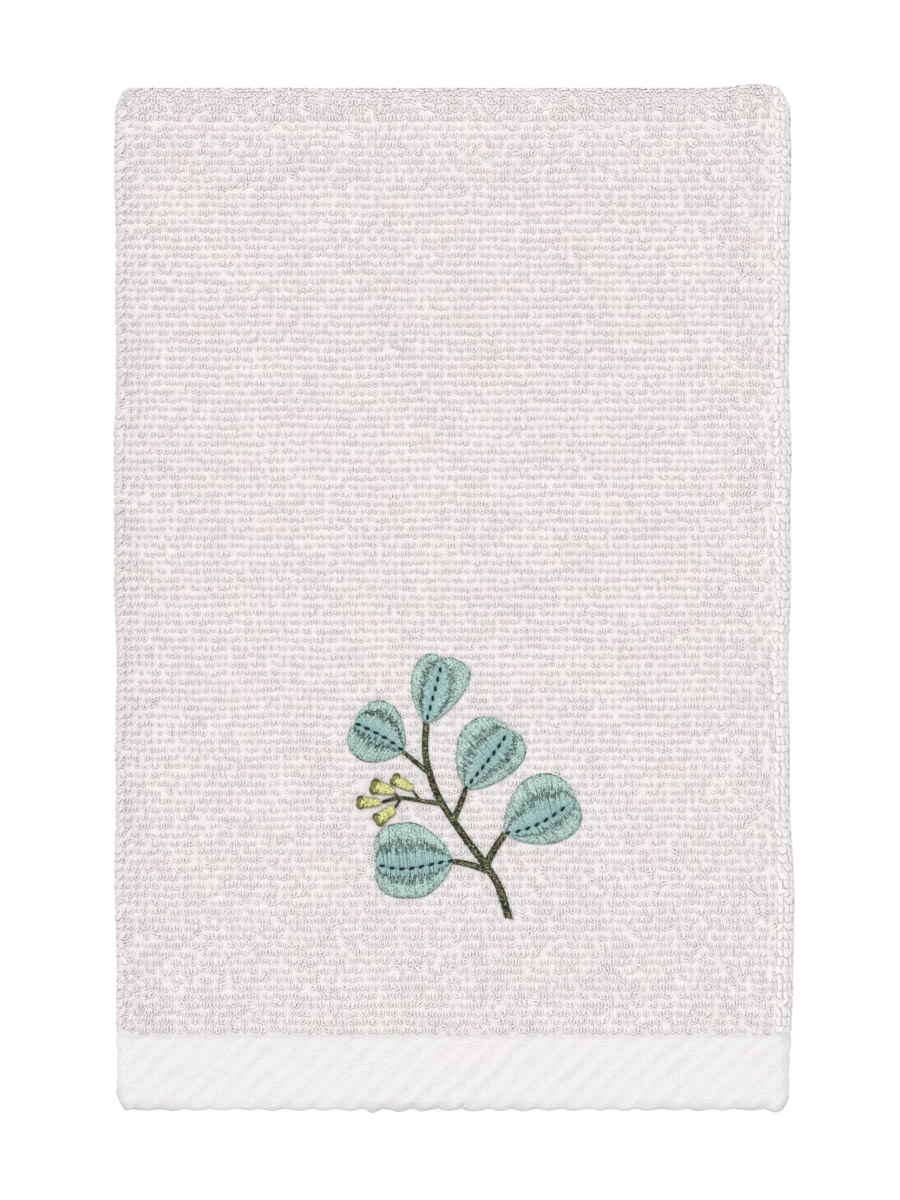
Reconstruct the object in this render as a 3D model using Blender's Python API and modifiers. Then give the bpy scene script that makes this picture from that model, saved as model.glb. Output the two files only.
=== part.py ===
"""A hand towel with a stitched leaf sprig, folded as it lies on a shelf.

The cloth is one woven length: terry with loops on both sides, and a flat twill heading at each end. It starts
as its flat cut, a thin closed slab, and is then folded twice. First it is folded in thirds across its width,
the left flap behind the centre panel and the right flap behind both. Then that strip of three layers is
folded back and forth in thirds along its length. Nine layers lie on each other, a little apart.

The sprig is raised stitching on the face: a stem with its branches, five round leaves and four buds.

Metres. +X runs across the face, +Y along it towards the fold at the top, +Z up out of the face. The origin is
the centre of the underside.
"""

import math
from collections import namedtuple

import bmesh
import bpy
import numpy as np

MM = 0.001

# ---- driving sizes -----------------------------------------------------------------------------------------

FACE_WIDTH = 156.3 * MM     # across the folded face, over both side folds
FACE_LENGTH = 237.0 * MM    # from the heading's hem to the outside of the top fold
CUT_WIDTH = 457.0 * MM      # the towel spread flat, from side hem to side hem
HEADING_DEPTH = 18.0 * MM   # the flat woven band at each end, from the pile to the end hem
TERRY = 2.4 * MM            # ground cloth with the loops of both sides
HEADING = 1.4 * MM          # flat weave, turned under as the end hem
LAYER_GAP = 0.3 * MM        # between neighbouring layers
RAISE = 0.8 * MM            # how thick the stitched motif is
LIFT = 0.3 * MM             # from the tips of the pile to the motif

MARGIN = 15.0 * MM          # strip beside each side fold, where the layers follow it more closely
PILE_STEP = 1.6 * MM        # length over which the heading thickens into terry
EDGE_ROUND = 0.7 * MM       # length over which an outer edge thins to its rounded rim
EDGE_SHARE = 0.55           # thickness of the rim, as a share of the cloth's
HEADING_PITCH = 2.4 * MM    # layer spacing in the headings, where the thinner cloth lies closer
HEADING_DROP = 0.5 * MM     # how far the middle of the strip sinks there

INNER_FLAP_SHORT = 2.5 * MM  # the left flap stops this far before the right fold begins
MIDDLE_SHORT = 1.5 * MM      # the bottom fold stays this far behind the face's lower edge
BACK_LONG = 0.2 * MM         # the back run ends this far beyond the top fold

# ---- sizes that follow -------------------------------------------------------------------------------------

PITCH = TERRY + LAYER_GAP
STRIP = 3 * TERRY + 2 * LAYER_GAP       # three layers thick
STRIP_RADIUS = (STRIP + LAYER_GAP) / 2  # of the strip's middle layer, in its two folds
STRIP_OUT = STRIP_RADIUS + STRIP / 2    # how far such a fold stands out past its straights
STACK = 3 * STRIP + 2 * LAYER_GAP

LEFT_RADIUS = PITCH / 2                 # the left flap lies straight behind the centre panel
RIGHT_RADIUS = PITCH                    # the right flap goes round the left one
LEFT_OUT = LEFT_RADIUS + TERRY / 2
RIGHT_OUT = RIGHT_RADIUS + TERRY / 2
CENTRE_PANEL = FACE_WIDTH - LEFT_OUT - RIGHT_OUT
LEFT_FLAP = CENTRE_PANEL - INNER_FLAP_SHORT
RIGHT_FLAP = CUT_WIDTH - LEFT_FLAP - CENTRE_PANEL - math.pi * (LEFT_RADIUS + RIGHT_RADIUS)

FRONT = FACE_LENGTH - STRIP_OUT
MIDDLE = FRONT - STRIP_OUT - MIDDLE_SHORT
BACK = FRONT - MIDDLE_SHORT + BACK_LONG
FLAT_SHARE = HEADING / TERRY

# ---- the two folded paths ----------------------------------------------------------------------------------
# A run is a straight (turn 0) or a fold (turn in degrees, at a radius). share is the cloth's thickness at the
# end of the run, as a share of TERRY. The layers have their stations at the same places across, so that they
# stay apart however the stack is bent.

Run = namedtuple("Run", "name length turn radius steps share")

WIDTH_START_SHARE = EDGE_SHARE
WIDTH_RUNS = (
    Run("left flap's side hem", EDGE_ROUND, 0, 0, 1, 1.0),
    Run("left flap, right margin", MARGIN - INNER_FLAP_SHORT - EDGE_ROUND, 0, 0, 2, 1.0),
    Run("left flap", CENTRE_PANEL - 2 * MARGIN, 0, 0, 4, 1.0),
    Run("left flap, left margin", MARGIN, 0, 0, 3, 1.0),
    Run("left fold", 0, -180, LEFT_RADIUS, 6, 1.0),
    Run("centre panel, left margin", MARGIN, 0, 0, 3, 1.0),
    Run("centre panel", CENTRE_PANEL - 2 * MARGIN, 0, 0, 4, 1.0),
    Run("centre panel, right margin", MARGIN, 0, 0, 3, 1.0),
    Run("right fold", 0, -180, RIGHT_RADIUS, 8, 1.0),
    Run("right flap, right margin", MARGIN, 0, 0, 3, 1.0),
    Run("right flap", CENTRE_PANEL - 2 * MARGIN, 0, 0, 4, 1.0),
    Run("right flap, left margin", RIGHT_FLAP - CENTRE_PANEL + MARGIN - EDGE_ROUND, 0, 0, 3, 1.0),
    Run("right flap's side hem", EDGE_ROUND, 0, 0, 1, EDGE_SHARE),
)

LENGTH_START_SHARE = EDGE_SHARE * FLAT_SHARE
LENGTH_RUNS = (
    Run("front end hem", EDGE_ROUND, 0, 0, 1, FLAT_SHARE),
    Run("front heading", HEADING_DEPTH - EDGE_ROUND - PILE_STEP, 0, 0, 2, FLAT_SHARE),
    Run("front pile step", PILE_STEP, 0, 0, 1, 1.0),
    Run("front terry", FRONT - HEADING_DEPTH, 0, 0, 9, 1.0),
    Run("top fold", 0, -180, STRIP_RADIUS, 8, 1.0),
    Run("middle terry", MIDDLE, 0, 0, 6, 1.0),
    Run("bottom fold", 0, 180, STRIP_RADIUS, 8, 1.0),
    Run("back terry", BACK - HEADING_DEPTH, 0, 0, 5, 1.0),
    Run("back pile step", PILE_STEP, 0, 0, 1, FLAT_SHARE),
    Run("back heading", HEADING_DEPTH - EDGE_ROUND - PILE_STEP, 0, 0, 2, FLAT_SHARE),
    Run("back end hem", EDGE_ROUND, 0, 0, 1, EDGE_SHARE * FLAT_SHARE),
)

# ---- how the folded stack lies -----------------------------------------------------------------------------
# Corners of the face, drawn in by the folds. side and end give the corner, reach how far along the side fold
# it is felt, and low is the share of it that reaches the back run.

Corner = namedtuple("Corner", "name side end drawn_in width reach low")
CORNERS = (
    Corner("heading, left", -1, -1, 2.6 * MM, 3.2 * MM, 9 * MM, 1.0),
    Corner("heading, right", 1, -1, 2.2 * MM, 2.9 * MM, 9 * MM, 1.0),
    Corner("top fold, left", -1, 1, 3.0 * MM, 8.0 * MM, 18 * MM, 0.25),
    Corner("top fold, right", 1, 1, 3.4 * MM, 3.6 * MM, 18 * MM, 0.7),
)
FRONT_FROM = 0.30   # share of the stack's height below which only low is felt
FRONT_FULL = 0.55   # and above which the whole is

# Soft swells of the face, each a bell over x and y; rise is at the top of the stack.
Swell = namedtuple("Swell", "name x y rise across along")
SWELLS = (
    Swell("trough across the upper face", -10 * MM, 38 * MM, -0.30 * MM, 60 * MM, 14 * MM),
    Swell("rise above it", 5 * MM, 62 * MM, 0.22 * MM, 55 * MM, 16 * MM),
    Swell("hollow right of the sprig", 44 * MM, -22 * MM, -0.25 * MM, 16 * MM, 14 * MM),
    Swell("rise at the left", -55 * MM, -62 * MM, 0.25 * MM, 22 * MM, 26 * MM),
    Swell("dip at the top", -4 * MM, 108 * MM, -0.25 * MM, 30 * MM, 12 * MM),
)

RIGHT_BULGE = 1.1 * MM      # the right fold stands out a little in its lower part
BULGE_AT = -80 * MM
BULGE_REACH = 22 * MM
BULGE_LOW = 0.4             # share of it that reaches the back run
TOP_LUMP = 0.9 * MM         # the top fold stands out a little near its right end
LUMP_AT = 70 * MM
LUMP_REACH = 6 * MM
LUMP_DEPTH = 25 * MM
LOWER_NARROW = 0.009        # the back of the stack is this share narrower than the face

# The side folds wander in waves. A wave's angle grows by one radian over y_reach along the fold and over
# z_reach up the stack.
EDGE_WANDER = 0.22 * MM
Wave = namedtuple("Wave", "share y_reach z_reach phase")
EDGE_WAVES = (
    Wave(1.0, 13 * MM, math.inf, 0.0),
    Wave(0.6, 5.3 * MM, math.inf, 1.3),
    Wave(0.5, 31 * MM, 3.1 * MM, 0.0),
)

# ---- the sprig ---------------------------------------------------------------------------------------------
# Millimetres on the face, from its centre.

Leaf = namedtuple("Leaf", "name base_x base_y tip_x tip_y left right left_full right_full notch")
LEAVES = (
    # left and right are the half widths either side of the midrib, seen from the base to the tip; full is
    # where along it the half is widest
    Leaf("leaf_1", -6.2, -28.6, -2.4, -14.3, 5.8, 7.1, 0.58, 0.74, 0.9),
    Leaf("leaf_2", -11.7, -35.3, -22.5, -29.0, 6.7, 7.8, 0.54, 0.56, 0.6),
    Leaf("leaf_3", 3.0, -44.0, 12.9, -30.8, 8.6, 6.7, 0.56, 0.66, 0.9),
    Leaf("leaf_4", 12.3, -54.3, 28.2, -46.7, 9.1, 7.2, 0.53, 0.58, 0.4),
    Leaf("leaf_5", -0.3, -60.8, -17.4, -61.7, 8.1, 9.3, 0.44, 0.54, 0.6),
)
LEAF_STEPS = 8       # points along each half of an outline, base to widest and widest to tip
BASE_POINTED = 1.60  # power of the superellipse from the base to the widest place
TIP_BLUNT = 2.45     # and from there to the tip
NOTCH_WIDTH = 1.1    # half width of the notch in the tip

# Each branch is a smooth line through its points, from its root to its end, with its width at both.
# raise_share is its thickness, as a share of the motif's.
Branch = namedtuple("Branch", "name root_width end_width raise_share points")
STEM = (
    Branch("main stem", 1.8, 1.4, 1.0, ((12.9, -74.1), (10.6, -66.8), (7.5, -61.8), (1.4, -53.5),
                                        (-3.5, -45.8), (-6.0, -38.4), (-6.5, -34.0), (-6.2, -29.5))),
    Branch("to leaf 2", 1.1, 1.0, 0.85, ((-5.9, -40.3), (-9.0, -37.7), (-11.3, -35.9))),
    Branch("to leaf 3", 1.4, 1.3, 0.9, ((-0.1, -51.8), (1.7, -47.7), (2.8, -44.8))),
    Branch("to leaf 4", 1.7, 1.6, 0.92, ((7.5, -62.2), (9.5, -58.3), (11.6, -55.0))),
    Branch("to leaf 5", 1.5, 1.3, 0.88, ((7.9, -63.1), (3.9, -61.7), (0.6, -61.1))),
    Branch("bud twig", 1.0, 0.8, 0.8, ((-2.8, -47.6), (-7.6, -46.9), (-12.3, -46.3), (-15.9, -47.0))),
    Branch("twig to bud 4", 0.7, 0.6, 0.65, ((-7.4, -47.1), (-9.2, -44.8))),
    Branch("twig to bud 1", 0.7, 0.6, 0.6, ((-11.8, -46.6), (-13.3, -45.5))),
    Branch("twig to bud 3", 0.7, 0.6, 0.7, ((-11.9, -46.1), (-13.2, -48.2))),
)
BRANCH_POINTS = 4       # along each stretch of a branch
BRANCH_SIDES = 1        # bevel resolution, six sides
WELD_MM = 0.001         # the branches are joined in millimetres

# Each bud is a cone that widens from its neck at the twig to its cap.
Bud = namedtuple("Bud", "name neck_x neck_y cap_x cap_y neck_width cap_width")
BUDS = (
    Bud("bud_1", -13.8, -44.9, -19.2, -43.3, 1.2, 3.7),
    Bud("bud_2", -17.0, -47.4, -22.4, -47.3, 1.2, 3.0),
    Bud("bud_3", -13.7, -48.9, -18.1, -51.9, 1.2, 3.4),
    Bud("bud_4", -9.7, -44.2, -14.2, -41.5, 1.2, 3.1),
)
BUD_ARC = 8             # steps round a cap
BUD_CAP_DEPTH = 0.3     # depth of a cap's round, as a share of its width

Finish = namedtuple("Finish", "colour roughness")
FINISHES = {
    "cotton": Finish((0.79, 0.75, 0.74), 0.95),
    "leaf_thread": Finish((0.28, 0.41, 0.38), 0.5),
    "stem_thread": Finish((0.12, 0.13, 0.06), 0.55),
    "bud_thread": Finish((0.62, 0.59, 0.24), 0.5),
}


# ---- helpers -----------------------------------------------------------------------------------------------

def smooth(low, high, value):
    """0 below low, 1 above high, and a soft step between."""
    t = np.clip((value - low) / (high - low), 0, 1)
    return t * t * (3 - 2 * t)


def material(name):
    made = bpy.data.materials.get(name) or bpy.data.materials.new(name)
    made.use_nodes = True
    shader = made.node_tree.nodes["Principled BSDF"]
    shader.inputs["Base Color"].default_value = (*FINISHES[name].colour, 1)
    shader.inputs["Roughness"].default_value = FINISHES[name].roughness
    shader.inputs["Metallic"].default_value = 0
    return made


def points_of(mesh):
    points = np.empty(len(mesh.vertices) * 3)
    mesh.vertices.foreach_get("co", points)
    return points.reshape(-1, 3)


def solid_mesh(source, weld=0.001 * MM):
    """The evaluated shape of an object as triangles with its caps welded; the object is removed."""
    depsgraph = bpy.context.evaluated_depsgraph_get()
    mesh = bpy.data.meshes.new_from_object(source.evaluated_get(depsgraph))
    bpy.data.objects.remove(source)
    bm = bmesh.new()
    bm.from_mesh(mesh)
    bmesh.ops.remove_doubles(bm, verts=bm.verts, dist=weld)
    bmesh.ops.triangulate(bm, faces=bm.faces)
    bmesh.ops.recalc_face_normals(bm, faces=bm.faces)
    bm.to_mesh(mesh)
    bm.free()
    return mesh


def place(name, mesh, slot, collection):
    made = bpy.data.objects.new(name, mesh)
    mesh.materials.clear()
    mesh.materials.append(material(slot))
    collection.objects.link(made)
    return made


# ---- the folded cloth --------------------------------------------------------------------------------------

def trace(runs, start_share):
    """Follows the runs from the origin, heading along +first axis.

    Gives the station points, the normals on the face side of the cloth, and its thickness share at each.
    """
    point = np.zeros(2)
    angle = 0.0
    points, normals, shares = [point], [np.array((0.0, 1.0))], [start_share]
    for run in runs:
        before = shares[-1]
        turn = math.radians(run.turn)
        side = math.copysign(1, run.turn)
        centre = point + side * run.radius * np.array((-math.sin(angle), math.cos(angle)))
        for step in range(1, run.steps + 1):
            part = step / run.steps
            now = angle + turn * part
            normal = np.array((-math.sin(now), math.cos(now)))
            if run.turn:
                station = centre - side * run.radius * normal
            else:
                station = point + run.length * part * np.array((math.cos(now), math.sin(now)))
            points.append(station)
            normals.append(normal)
            shares.append(before + (run.share - before) * part)
        point = points[-1]
        angle += turn
    return np.array(points), np.array(normals), np.array(shares)


def width_section():
    """The strip's cross section in (x, height above its middle layer), centred on the face."""
    points, normals, shares = trace(WIDTH_RUNS, WIDTH_START_SHARE)
    # the left flap runs from right to left, so the path is turned half round
    points, normals = -points, -normals
    leftmost = points[:, 0].min()
    points[:, 0] += -FACE_WIDTH / 2 + TERRY / 2 - leftmost
    return points, normals, shares


def length_section():
    """The back-and-forth line of the strip's middle layer in (y, z), centred on the face."""
    points, normals, shares = trace(LENGTH_RUNS, LENGTH_START_SHARE)
    points[:, 0] -= FACE_LENGTH / 2
    points[:, 1] += STACK - STRIP / 2
    return points, normals, shares


def folded(across, along, through):
    """Where a point of the flat cut goes: station numbers across and along, and through from -1/2 to 1/2."""
    middle, side_normal, side_share = width_section()
    line, line_normal, line_share = length_section()
    # 1 in the terry and 0 in the headings
    pile = np.clip((line_share - FLAT_SHARE) / (1 - FLAT_SHARE), 0, 1)[along]
    close = (HEADING_PITCH + (PITCH - HEADING_PITCH) * pile) / PITCH
    drop = HEADING_DROP * (1 - pile)
    offset = through * TERRY * side_share[across] * line_share[along]
    x = middle[across, 0] + offset * side_normal[across, 0]
    height = middle[across, 1] * close - drop + offset * side_normal[across, 1]
    y = line[along, 0] + height * line_normal[along, 0]
    z = line[along, 1] + height * line_normal[along, 1]
    return np.stack((x, y, z), axis=1)


def settled(points):
    """How the squarely folded stack really lies: corners drawn in, swells, a bulge, edges that wander.

    The underside stays flat, because every rise grows with the height above it.
    """
    x, y, z = points.T
    high = z / STACK
    front = smooth(FRONT_FROM, FRONT_FULL, high)
    half_width, half_length = FACE_WIDTH / 2, FACE_LENGTH / 2

    rise = sum(s.rise * np.exp(-(((x - s.x) / s.across) ** 2 + ((y - s.y) / s.along) ** 2)) for s in SWELLS)
    new_z = z + rise * high ** 2

    new_y = y.copy()
    for corner in CORNERS:
        inward = np.clip((corner.side * x - half_width + corner.width) / corner.width, 0, 1)
        near = smooth(half_length - corner.reach, half_length, corner.end * y)
        felt = corner.low + (1 - corner.low) * front
        new_y -= corner.end * corner.drawn_in * inward ** 2 * near * felt
    lump = np.exp(-(((x - LUMP_AT) / LUMP_REACH) ** 2)) * smooth(half_length - LUMP_DEPTH, half_length, y)
    new_y += TOP_LUMP * lump * front

    new_x = x * (1 - LOWER_NARROW * (1 - high))
    to_right = np.clip(x / half_width, 0, 1) ** 4
    bulge = np.exp(-(((y - BULGE_AT) / BULGE_REACH) ** 2)) * (BULGE_LOW + (1 - BULGE_LOW) * front)
    new_x += RIGHT_BULGE * to_right * bulge
    wander = sum(w.share * np.sin(y / w.y_reach + z / w.z_reach + w.phase) for w in EDGE_WAVES)
    new_x += EDGE_WANDER * (x / half_width) ** 3 * wander
    return np.stack((new_x, new_y, new_z), axis=1)


def cloth_mesh():
    """The flat cut as a thin closed slab with a vertex at every station, each vertex then folded."""
    columns = sum(run.steps for run in WIDTH_RUNS)
    rows = sum(run.steps for run in LENGTH_RUNS)
    bpy.ops.mesh.primitive_grid_add(x_subdivisions=columns, y_subdivisions=rows, size=1)
    cut = bpy.context.active_object
    slab = cut.modifiers.new("cloth", "SOLIDIFY")
    slab.thickness = 1
    slab.offset = 0
    mesh = solid_mesh(cut)
    points = points_of(mesh)
    across = np.rint((points[:, 0] + 0.5) * columns).astype(int)
    along = np.rint((points[:, 1] + 0.5) * rows).astype(int)
    return mesh, folded(across, along, points[:, 2])


# ---- the sprig's outlines ----------------------------------------------------------------------------------

def leaf_half(length, width, full, notch):
    """One half of a leaf from base to tip, along and across its midrib.

    Both the stretch from the base to the widest place and the one from there to the tip are a quarter of a
    superellipse. The tip is then drawn back by the notch, a bell across the midrib.
    """
    quarter = np.linspace(0, math.pi / 2, LEAF_STEPS + 1)
    rising, falling = np.sin(quarter), np.cos(quarter).clip(0)
    total = length + notch
    base_along = full * total * (1 - falling ** (2 / BASE_POINTED))
    base_across = width * rising ** (2 / BASE_POINTED)
    tip_along = total * (full + (1 - full) * rising ** (2 / TIP_BLUNT))
    tip_across = width * falling ** (2 / TIP_BLUNT)
    along = np.concatenate((base_along, tip_along[1:]))
    across = np.concatenate((base_across, tip_across[1:]))
    back = notch * np.exp(-((across / NOTCH_WIDTH) ** 2)) * (along > total / 2)
    return along - back, across


def leaf_outline(leaf):
    """The whole outline in millimetres: up the left half and back down the right."""
    base = np.array((leaf.base_x, leaf.base_y))
    midrib = np.array((leaf.tip_x, leaf.tip_y)) - base
    length = float(np.hypot(*midrib))
    forward = midrib / length
    leftward = np.array((-forward[1], forward[0]))
    left_along, left_across = leaf_half(length, leaf.left, leaf.left_full, leaf.notch)
    right_along, right_across = leaf_half(length, leaf.right, leaf.right_full, leaf.notch)
    up = base + np.outer(left_along, forward) + np.outer(left_across, leftward)
    down = base + np.outer(right_along, forward) - np.outer(right_across, leftward)
    return np.concatenate((down, up[-2:0:-1]))


def bud_outline(bud):
    """A cone in millimetres, straight sided from its neck, with a half-round cap a little wider than deep."""
    neck = np.array((bud.neck_x, bud.neck_y))
    axis = np.array((bud.cap_x, bud.cap_y)) - neck
    length = float(np.hypot(*axis))
    forward = axis / length
    leftward = np.array((-forward[1], forward[0]))
    turn = np.linspace(-math.pi / 2, math.pi / 2, BUD_ARC + 1)
    cap_depth = bud.cap_width * BUD_CAP_DEPTH
    along = np.concatenate(((0,), length - cap_depth + cap_depth * np.cos(turn), (0,)))
    across = np.concatenate(((-bud.neck_width / 2,), bud.cap_width / 2 * np.sin(turn), (bud.neck_width / 2,)))
    return neck + np.outer(along, forward) + np.outer(across, leftward)


def plate(outline):
    """A closed plate, as thick as the motif, from an outline in millimetres; its underside is at 0."""
    curve = bpy.data.curves.new("outline", "CURVE")
    curve.dimensions = "2D"
    curve.fill_mode = "BOTH"
    curve.extrude = RAISE / 2
    spline = curve.splines.new("POLY")
    spline.points.add(len(outline) - 1)
    for point, (x, y) in zip(spline.points, outline * MM):
        point.co = (x, y, 0, 1)
    spline.use_cyclic_u = True
    shape = bpy.data.objects.new("outline", curve)
    bpy.context.scene.collection.objects.link(shape)
    mesh = solid_mesh(shape)
    return mesh, points_of(mesh) + (0, 0, RAISE / 2)


def through_points(points):
    """A smooth line through a branch's own points: Catmull-Rom stretches with mirrored end points."""
    given = np.array(points)
    held = np.concatenate(((2 * given[0] - given[1],), given, (2 * given[-1] - given[-2],)))
    line = [given[0]]
    for start in range(len(given) - 1):
        a, b, c, d = held[start:start + 4]
        for step in range(1, BRANCH_POINTS + 1):
            t = step / BRANCH_POINTS
            line.append(0.5 * (2 * b + (c - a) * t + (2 * a - 5 * b + 4 * c - d) * t ** 2
                               + (3 * b - a - 3 * c + d) * t ** 3))
    return np.array(line)


def branch_tube(branch):
    """A tapering tube in millimetres along a branch, flattened to its thickness, with its middle at 0."""
    line = through_points(branch.points)
    curve = bpy.data.curves.new(branch.name, "CURVE")
    curve.dimensions = "3D"
    curve.bevel_depth = branch.root_width / 2
    curve.bevel_resolution = BRANCH_SIDES
    curve.use_fill_caps = True
    spline = curve.splines.new("POLY")
    spline.points.add(len(line) - 1)
    widths = np.linspace(1, branch.end_width / branch.root_width, len(line))
    for point, (x, y), width in zip(spline.points, line, widths):
        point.co = (x, y, 0, 1)
        point.radius = width
    shape = bpy.data.objects.new(branch.name, curve)
    bpy.context.scene.collection.objects.link(shape)
    mesh = solid_mesh(shape, WELD_MM)
    points = points_of(mesh)
    points[:, 2] *= RAISE / MM * branch.raise_share / branch.root_width
    mesh.vertices.foreach_set("co", points.ravel())
    mesh.update()
    return mesh


def stem_mesh(cutters):
    """The main stem joined with each of its branches into one body, its underside at 0."""
    stem = bpy.data.objects.new("stem body", branch_tube(STEM[0]))
    bpy.context.scene.collection.objects.link(stem)
    for branch in STEM[1:]:
        side = bpy.data.objects.new(branch.name, branch_tube(branch))
        side.hide_render = True
        side.display_type = "WIRE"
        cutters.objects.link(side)
        union = stem.modifiers.new(branch.name, "BOOLEAN")
        union.operation = "UNION"
        union.solver = "MANIFOLD"
        union.object = side
    mesh = solid_mesh(stem, WELD_MM)
    for side in list(cutters.objects):
        bpy.data.objects.remove(side)
    return mesh, points_of(mesh) * MM + (0, 0, RAISE / 2)


# ---- the towel ---------------------------------------------------------------------------------------------

def main():
    for old in list(bpy.data.objects):
        bpy.data.objects.remove(old)
    scene = bpy.context.scene
    towel = bpy.data.collections.new("hand towel")
    cutters = bpy.data.collections.new("cutters")
    scene.collection.children.link(towel)
    scene.collection.children.link(cutters)

    mesh, flat_stack = cloth_mesh()
    lying = settled(flat_stack)
    centre = (lying.min(axis=0) + lying.max(axis=0)) / 2
    centre[2] = lying[:, 2].min()

    mesh.vertices.foreach_set("co", (lying - centre).ravel())
    mesh.update()
    place("towel", mesh, "cotton", towel)

    motif = [("stem", "stem_thread", *stem_mesh(cutters))]
    motif += [(leaf.name, "leaf_thread", *plate(leaf_outline(leaf))) for leaf in LEAVES]
    motif += [(bud.name, "bud_thread", *plate(bud_outline(bud))) for bud in BUDS]
    for name, slot, mesh, points in motif:
        on_face = settled(points + (0, 0, STACK + LIFT)) - centre
        mesh.vertices.foreach_set("co", on_face.ravel())
        mesh.update()
        place(name, mesh, slot, towel)


main()
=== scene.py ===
"""A folded terry hand towel with a stitched leaf sprig, finished and laid on a pale studio floor.

Inside the functions lengths are millimetres in the towel's own frame: +X across the face, +Y along it towards
the fold at the top, +Z up out of the face. The cloth is made from its flat cut, where a place is given by its
distance across from the left flap's side hem, its distance along from the front end hem, and its rise from
the middle of the cloth towards the face side. One mapping folds the cut and settles the stack, and everything
that belongs to the cloth goes through it: the ground weave, the headings, the hems and every loop of pile.
"""

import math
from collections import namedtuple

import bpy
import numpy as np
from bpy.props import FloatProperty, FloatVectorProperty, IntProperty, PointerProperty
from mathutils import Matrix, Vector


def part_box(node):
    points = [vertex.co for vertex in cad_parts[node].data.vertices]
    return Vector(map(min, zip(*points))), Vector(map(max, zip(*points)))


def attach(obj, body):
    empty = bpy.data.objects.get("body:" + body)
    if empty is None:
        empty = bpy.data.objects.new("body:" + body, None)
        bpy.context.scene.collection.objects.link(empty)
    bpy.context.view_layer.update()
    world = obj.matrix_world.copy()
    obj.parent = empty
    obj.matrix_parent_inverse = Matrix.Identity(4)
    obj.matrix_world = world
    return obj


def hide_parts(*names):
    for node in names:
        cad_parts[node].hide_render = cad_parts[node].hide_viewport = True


bl_info = {
    "name": "Folded Hand Towel",
    "version": (1, 0, 0),
    "blender": (4, 5, 0),
    "location": "View3D > Sidebar > Towel",
    "description": "Ground cloth, headings, pile, stitched sprig and studio of a folded hand towel",
    "category": "Object",
}

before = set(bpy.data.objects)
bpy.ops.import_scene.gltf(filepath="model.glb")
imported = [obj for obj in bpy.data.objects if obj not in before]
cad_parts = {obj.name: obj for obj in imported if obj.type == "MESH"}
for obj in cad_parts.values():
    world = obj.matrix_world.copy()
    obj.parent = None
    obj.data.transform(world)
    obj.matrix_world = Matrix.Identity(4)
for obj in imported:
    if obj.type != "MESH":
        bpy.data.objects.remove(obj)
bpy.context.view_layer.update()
BODY = "root"
MM = 0.001

# ---- the folded cloth, in its own sizes --------------------------------------------------------------------

FACE_WIDTH = 156.3
FACE_LENGTH = 237.0
CUT_WIDTH = 457.0
HEADING_DEPTH = 18.0
TERRY = 2.4
HEADING = 1.4
LAYER_GAP = 0.3
PILE_STEP = 1.6
HEADING_PITCH = 2.4
HEADING_DROP = 0.5
INNER_FLAP_SHORT = 2.5
MIDDLE_SHORT = 1.5
BACK_LONG = 0.2
SIDE_HEM = 6.5
FOLD_STANDS = 0.45

PITCH = TERRY + LAYER_GAP
STRIP = 3 * TERRY + 2 * LAYER_GAP
STRIP_RADIUS = (STRIP + LAYER_GAP) / 2
STRIP_OUT = STRIP_RADIUS + STRIP / 2
STACK = 3 * STRIP + 2 * LAYER_GAP
LEFT_RADIUS = PITCH / 2
RIGHT_RADIUS = PITCH
CENTRE_PANEL = FACE_WIDTH - LEFT_RADIUS - RIGHT_RADIUS - TERRY
LEFT_FLAP = CENTRE_PANEL - INNER_FLAP_SHORT
RIGHT_FLAP = CUT_WIDTH - LEFT_FLAP - CENTRE_PANEL - math.pi * (LEFT_RADIUS + RIGHT_RADIUS)
FRONT = FACE_LENGTH - STRIP_OUT
MIDDLE = FRONT - STRIP_OUT - MIDDLE_SHORT
BACK = FRONT - MIDDLE_SHORT + BACK_LONG

# A run is a straight (turn 0) or a fold (turn in degrees, at a radius).
Run = namedtuple("Run", "name length turn radius")
WIDTH_RUNS = (
    Run("left flap", LEFT_FLAP, 0, 0),
    Run("left fold", 0, -180, LEFT_RADIUS),
    Run("centre panel", CENTRE_PANEL, 0, 0),
    Run("right fold", 0, -180, RIGHT_RADIUS),
    Run("right flap", RIGHT_FLAP, 0, 0),
)
LENGTH_RUNS = (
    Run("front", FRONT, 0, 0),
    Run("top fold", 0, -180, STRIP_RADIUS),
    Run("middle", MIDDLE, 0, 0),
    Run("bottom fold", 0, 180, STRIP_RADIUS),
    Run("back", BACK, 0, 0),
)

# How the stack lies: corners that the folds draw in, soft swells of the face, and wandering side folds.
FRONT_FROM, FRONT_FULL = 0.30, 0.55
Corner = namedtuple("Corner", "name side end drawn_in width reach low")
CORNERS = (
    Corner("heading, left", -1, -1, 3.4, 3.2, 9, 1.0),
    Corner("heading, right", 1, -1, 2.2, 2.9, 9, 1.0),
    Corner("top fold, left", -1, 1, 1.4, 3.5, 18, 0.25),
    Corner("top fold, right", 1, 1, 1.2, 2.2, 18, 0.7),
)
Swell = namedtuple("Swell", "name x y rise across along")
SWELLS = (
    Swell("trough across the upper face", -10, 38, -0.30, 60, 14),
    Swell("rise above it", 5, 62, 0.22, 55, 16),
    Swell("hollow right of the sprig", 44, -22, -0.25, 16, 14),
    Swell("rise at the left", -55, -62, 0.25, 22, 26),
    Swell("dip at the top", -4, 108, -0.25, 30, 12),
)
RIGHT_BULGE, BULGE_AT, BULGE_REACH, BULGE_LOW = 1.1, -80, 22, 0.4
TOP_LUMP, LUMP_AT, LUMP_REACH, LUMP_DEPTH = 0.9, 71, 6, 25
LOWER_NARROW = 0.009
EDGE_WANDER = 0.22
SQUASH = 0.3
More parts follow.
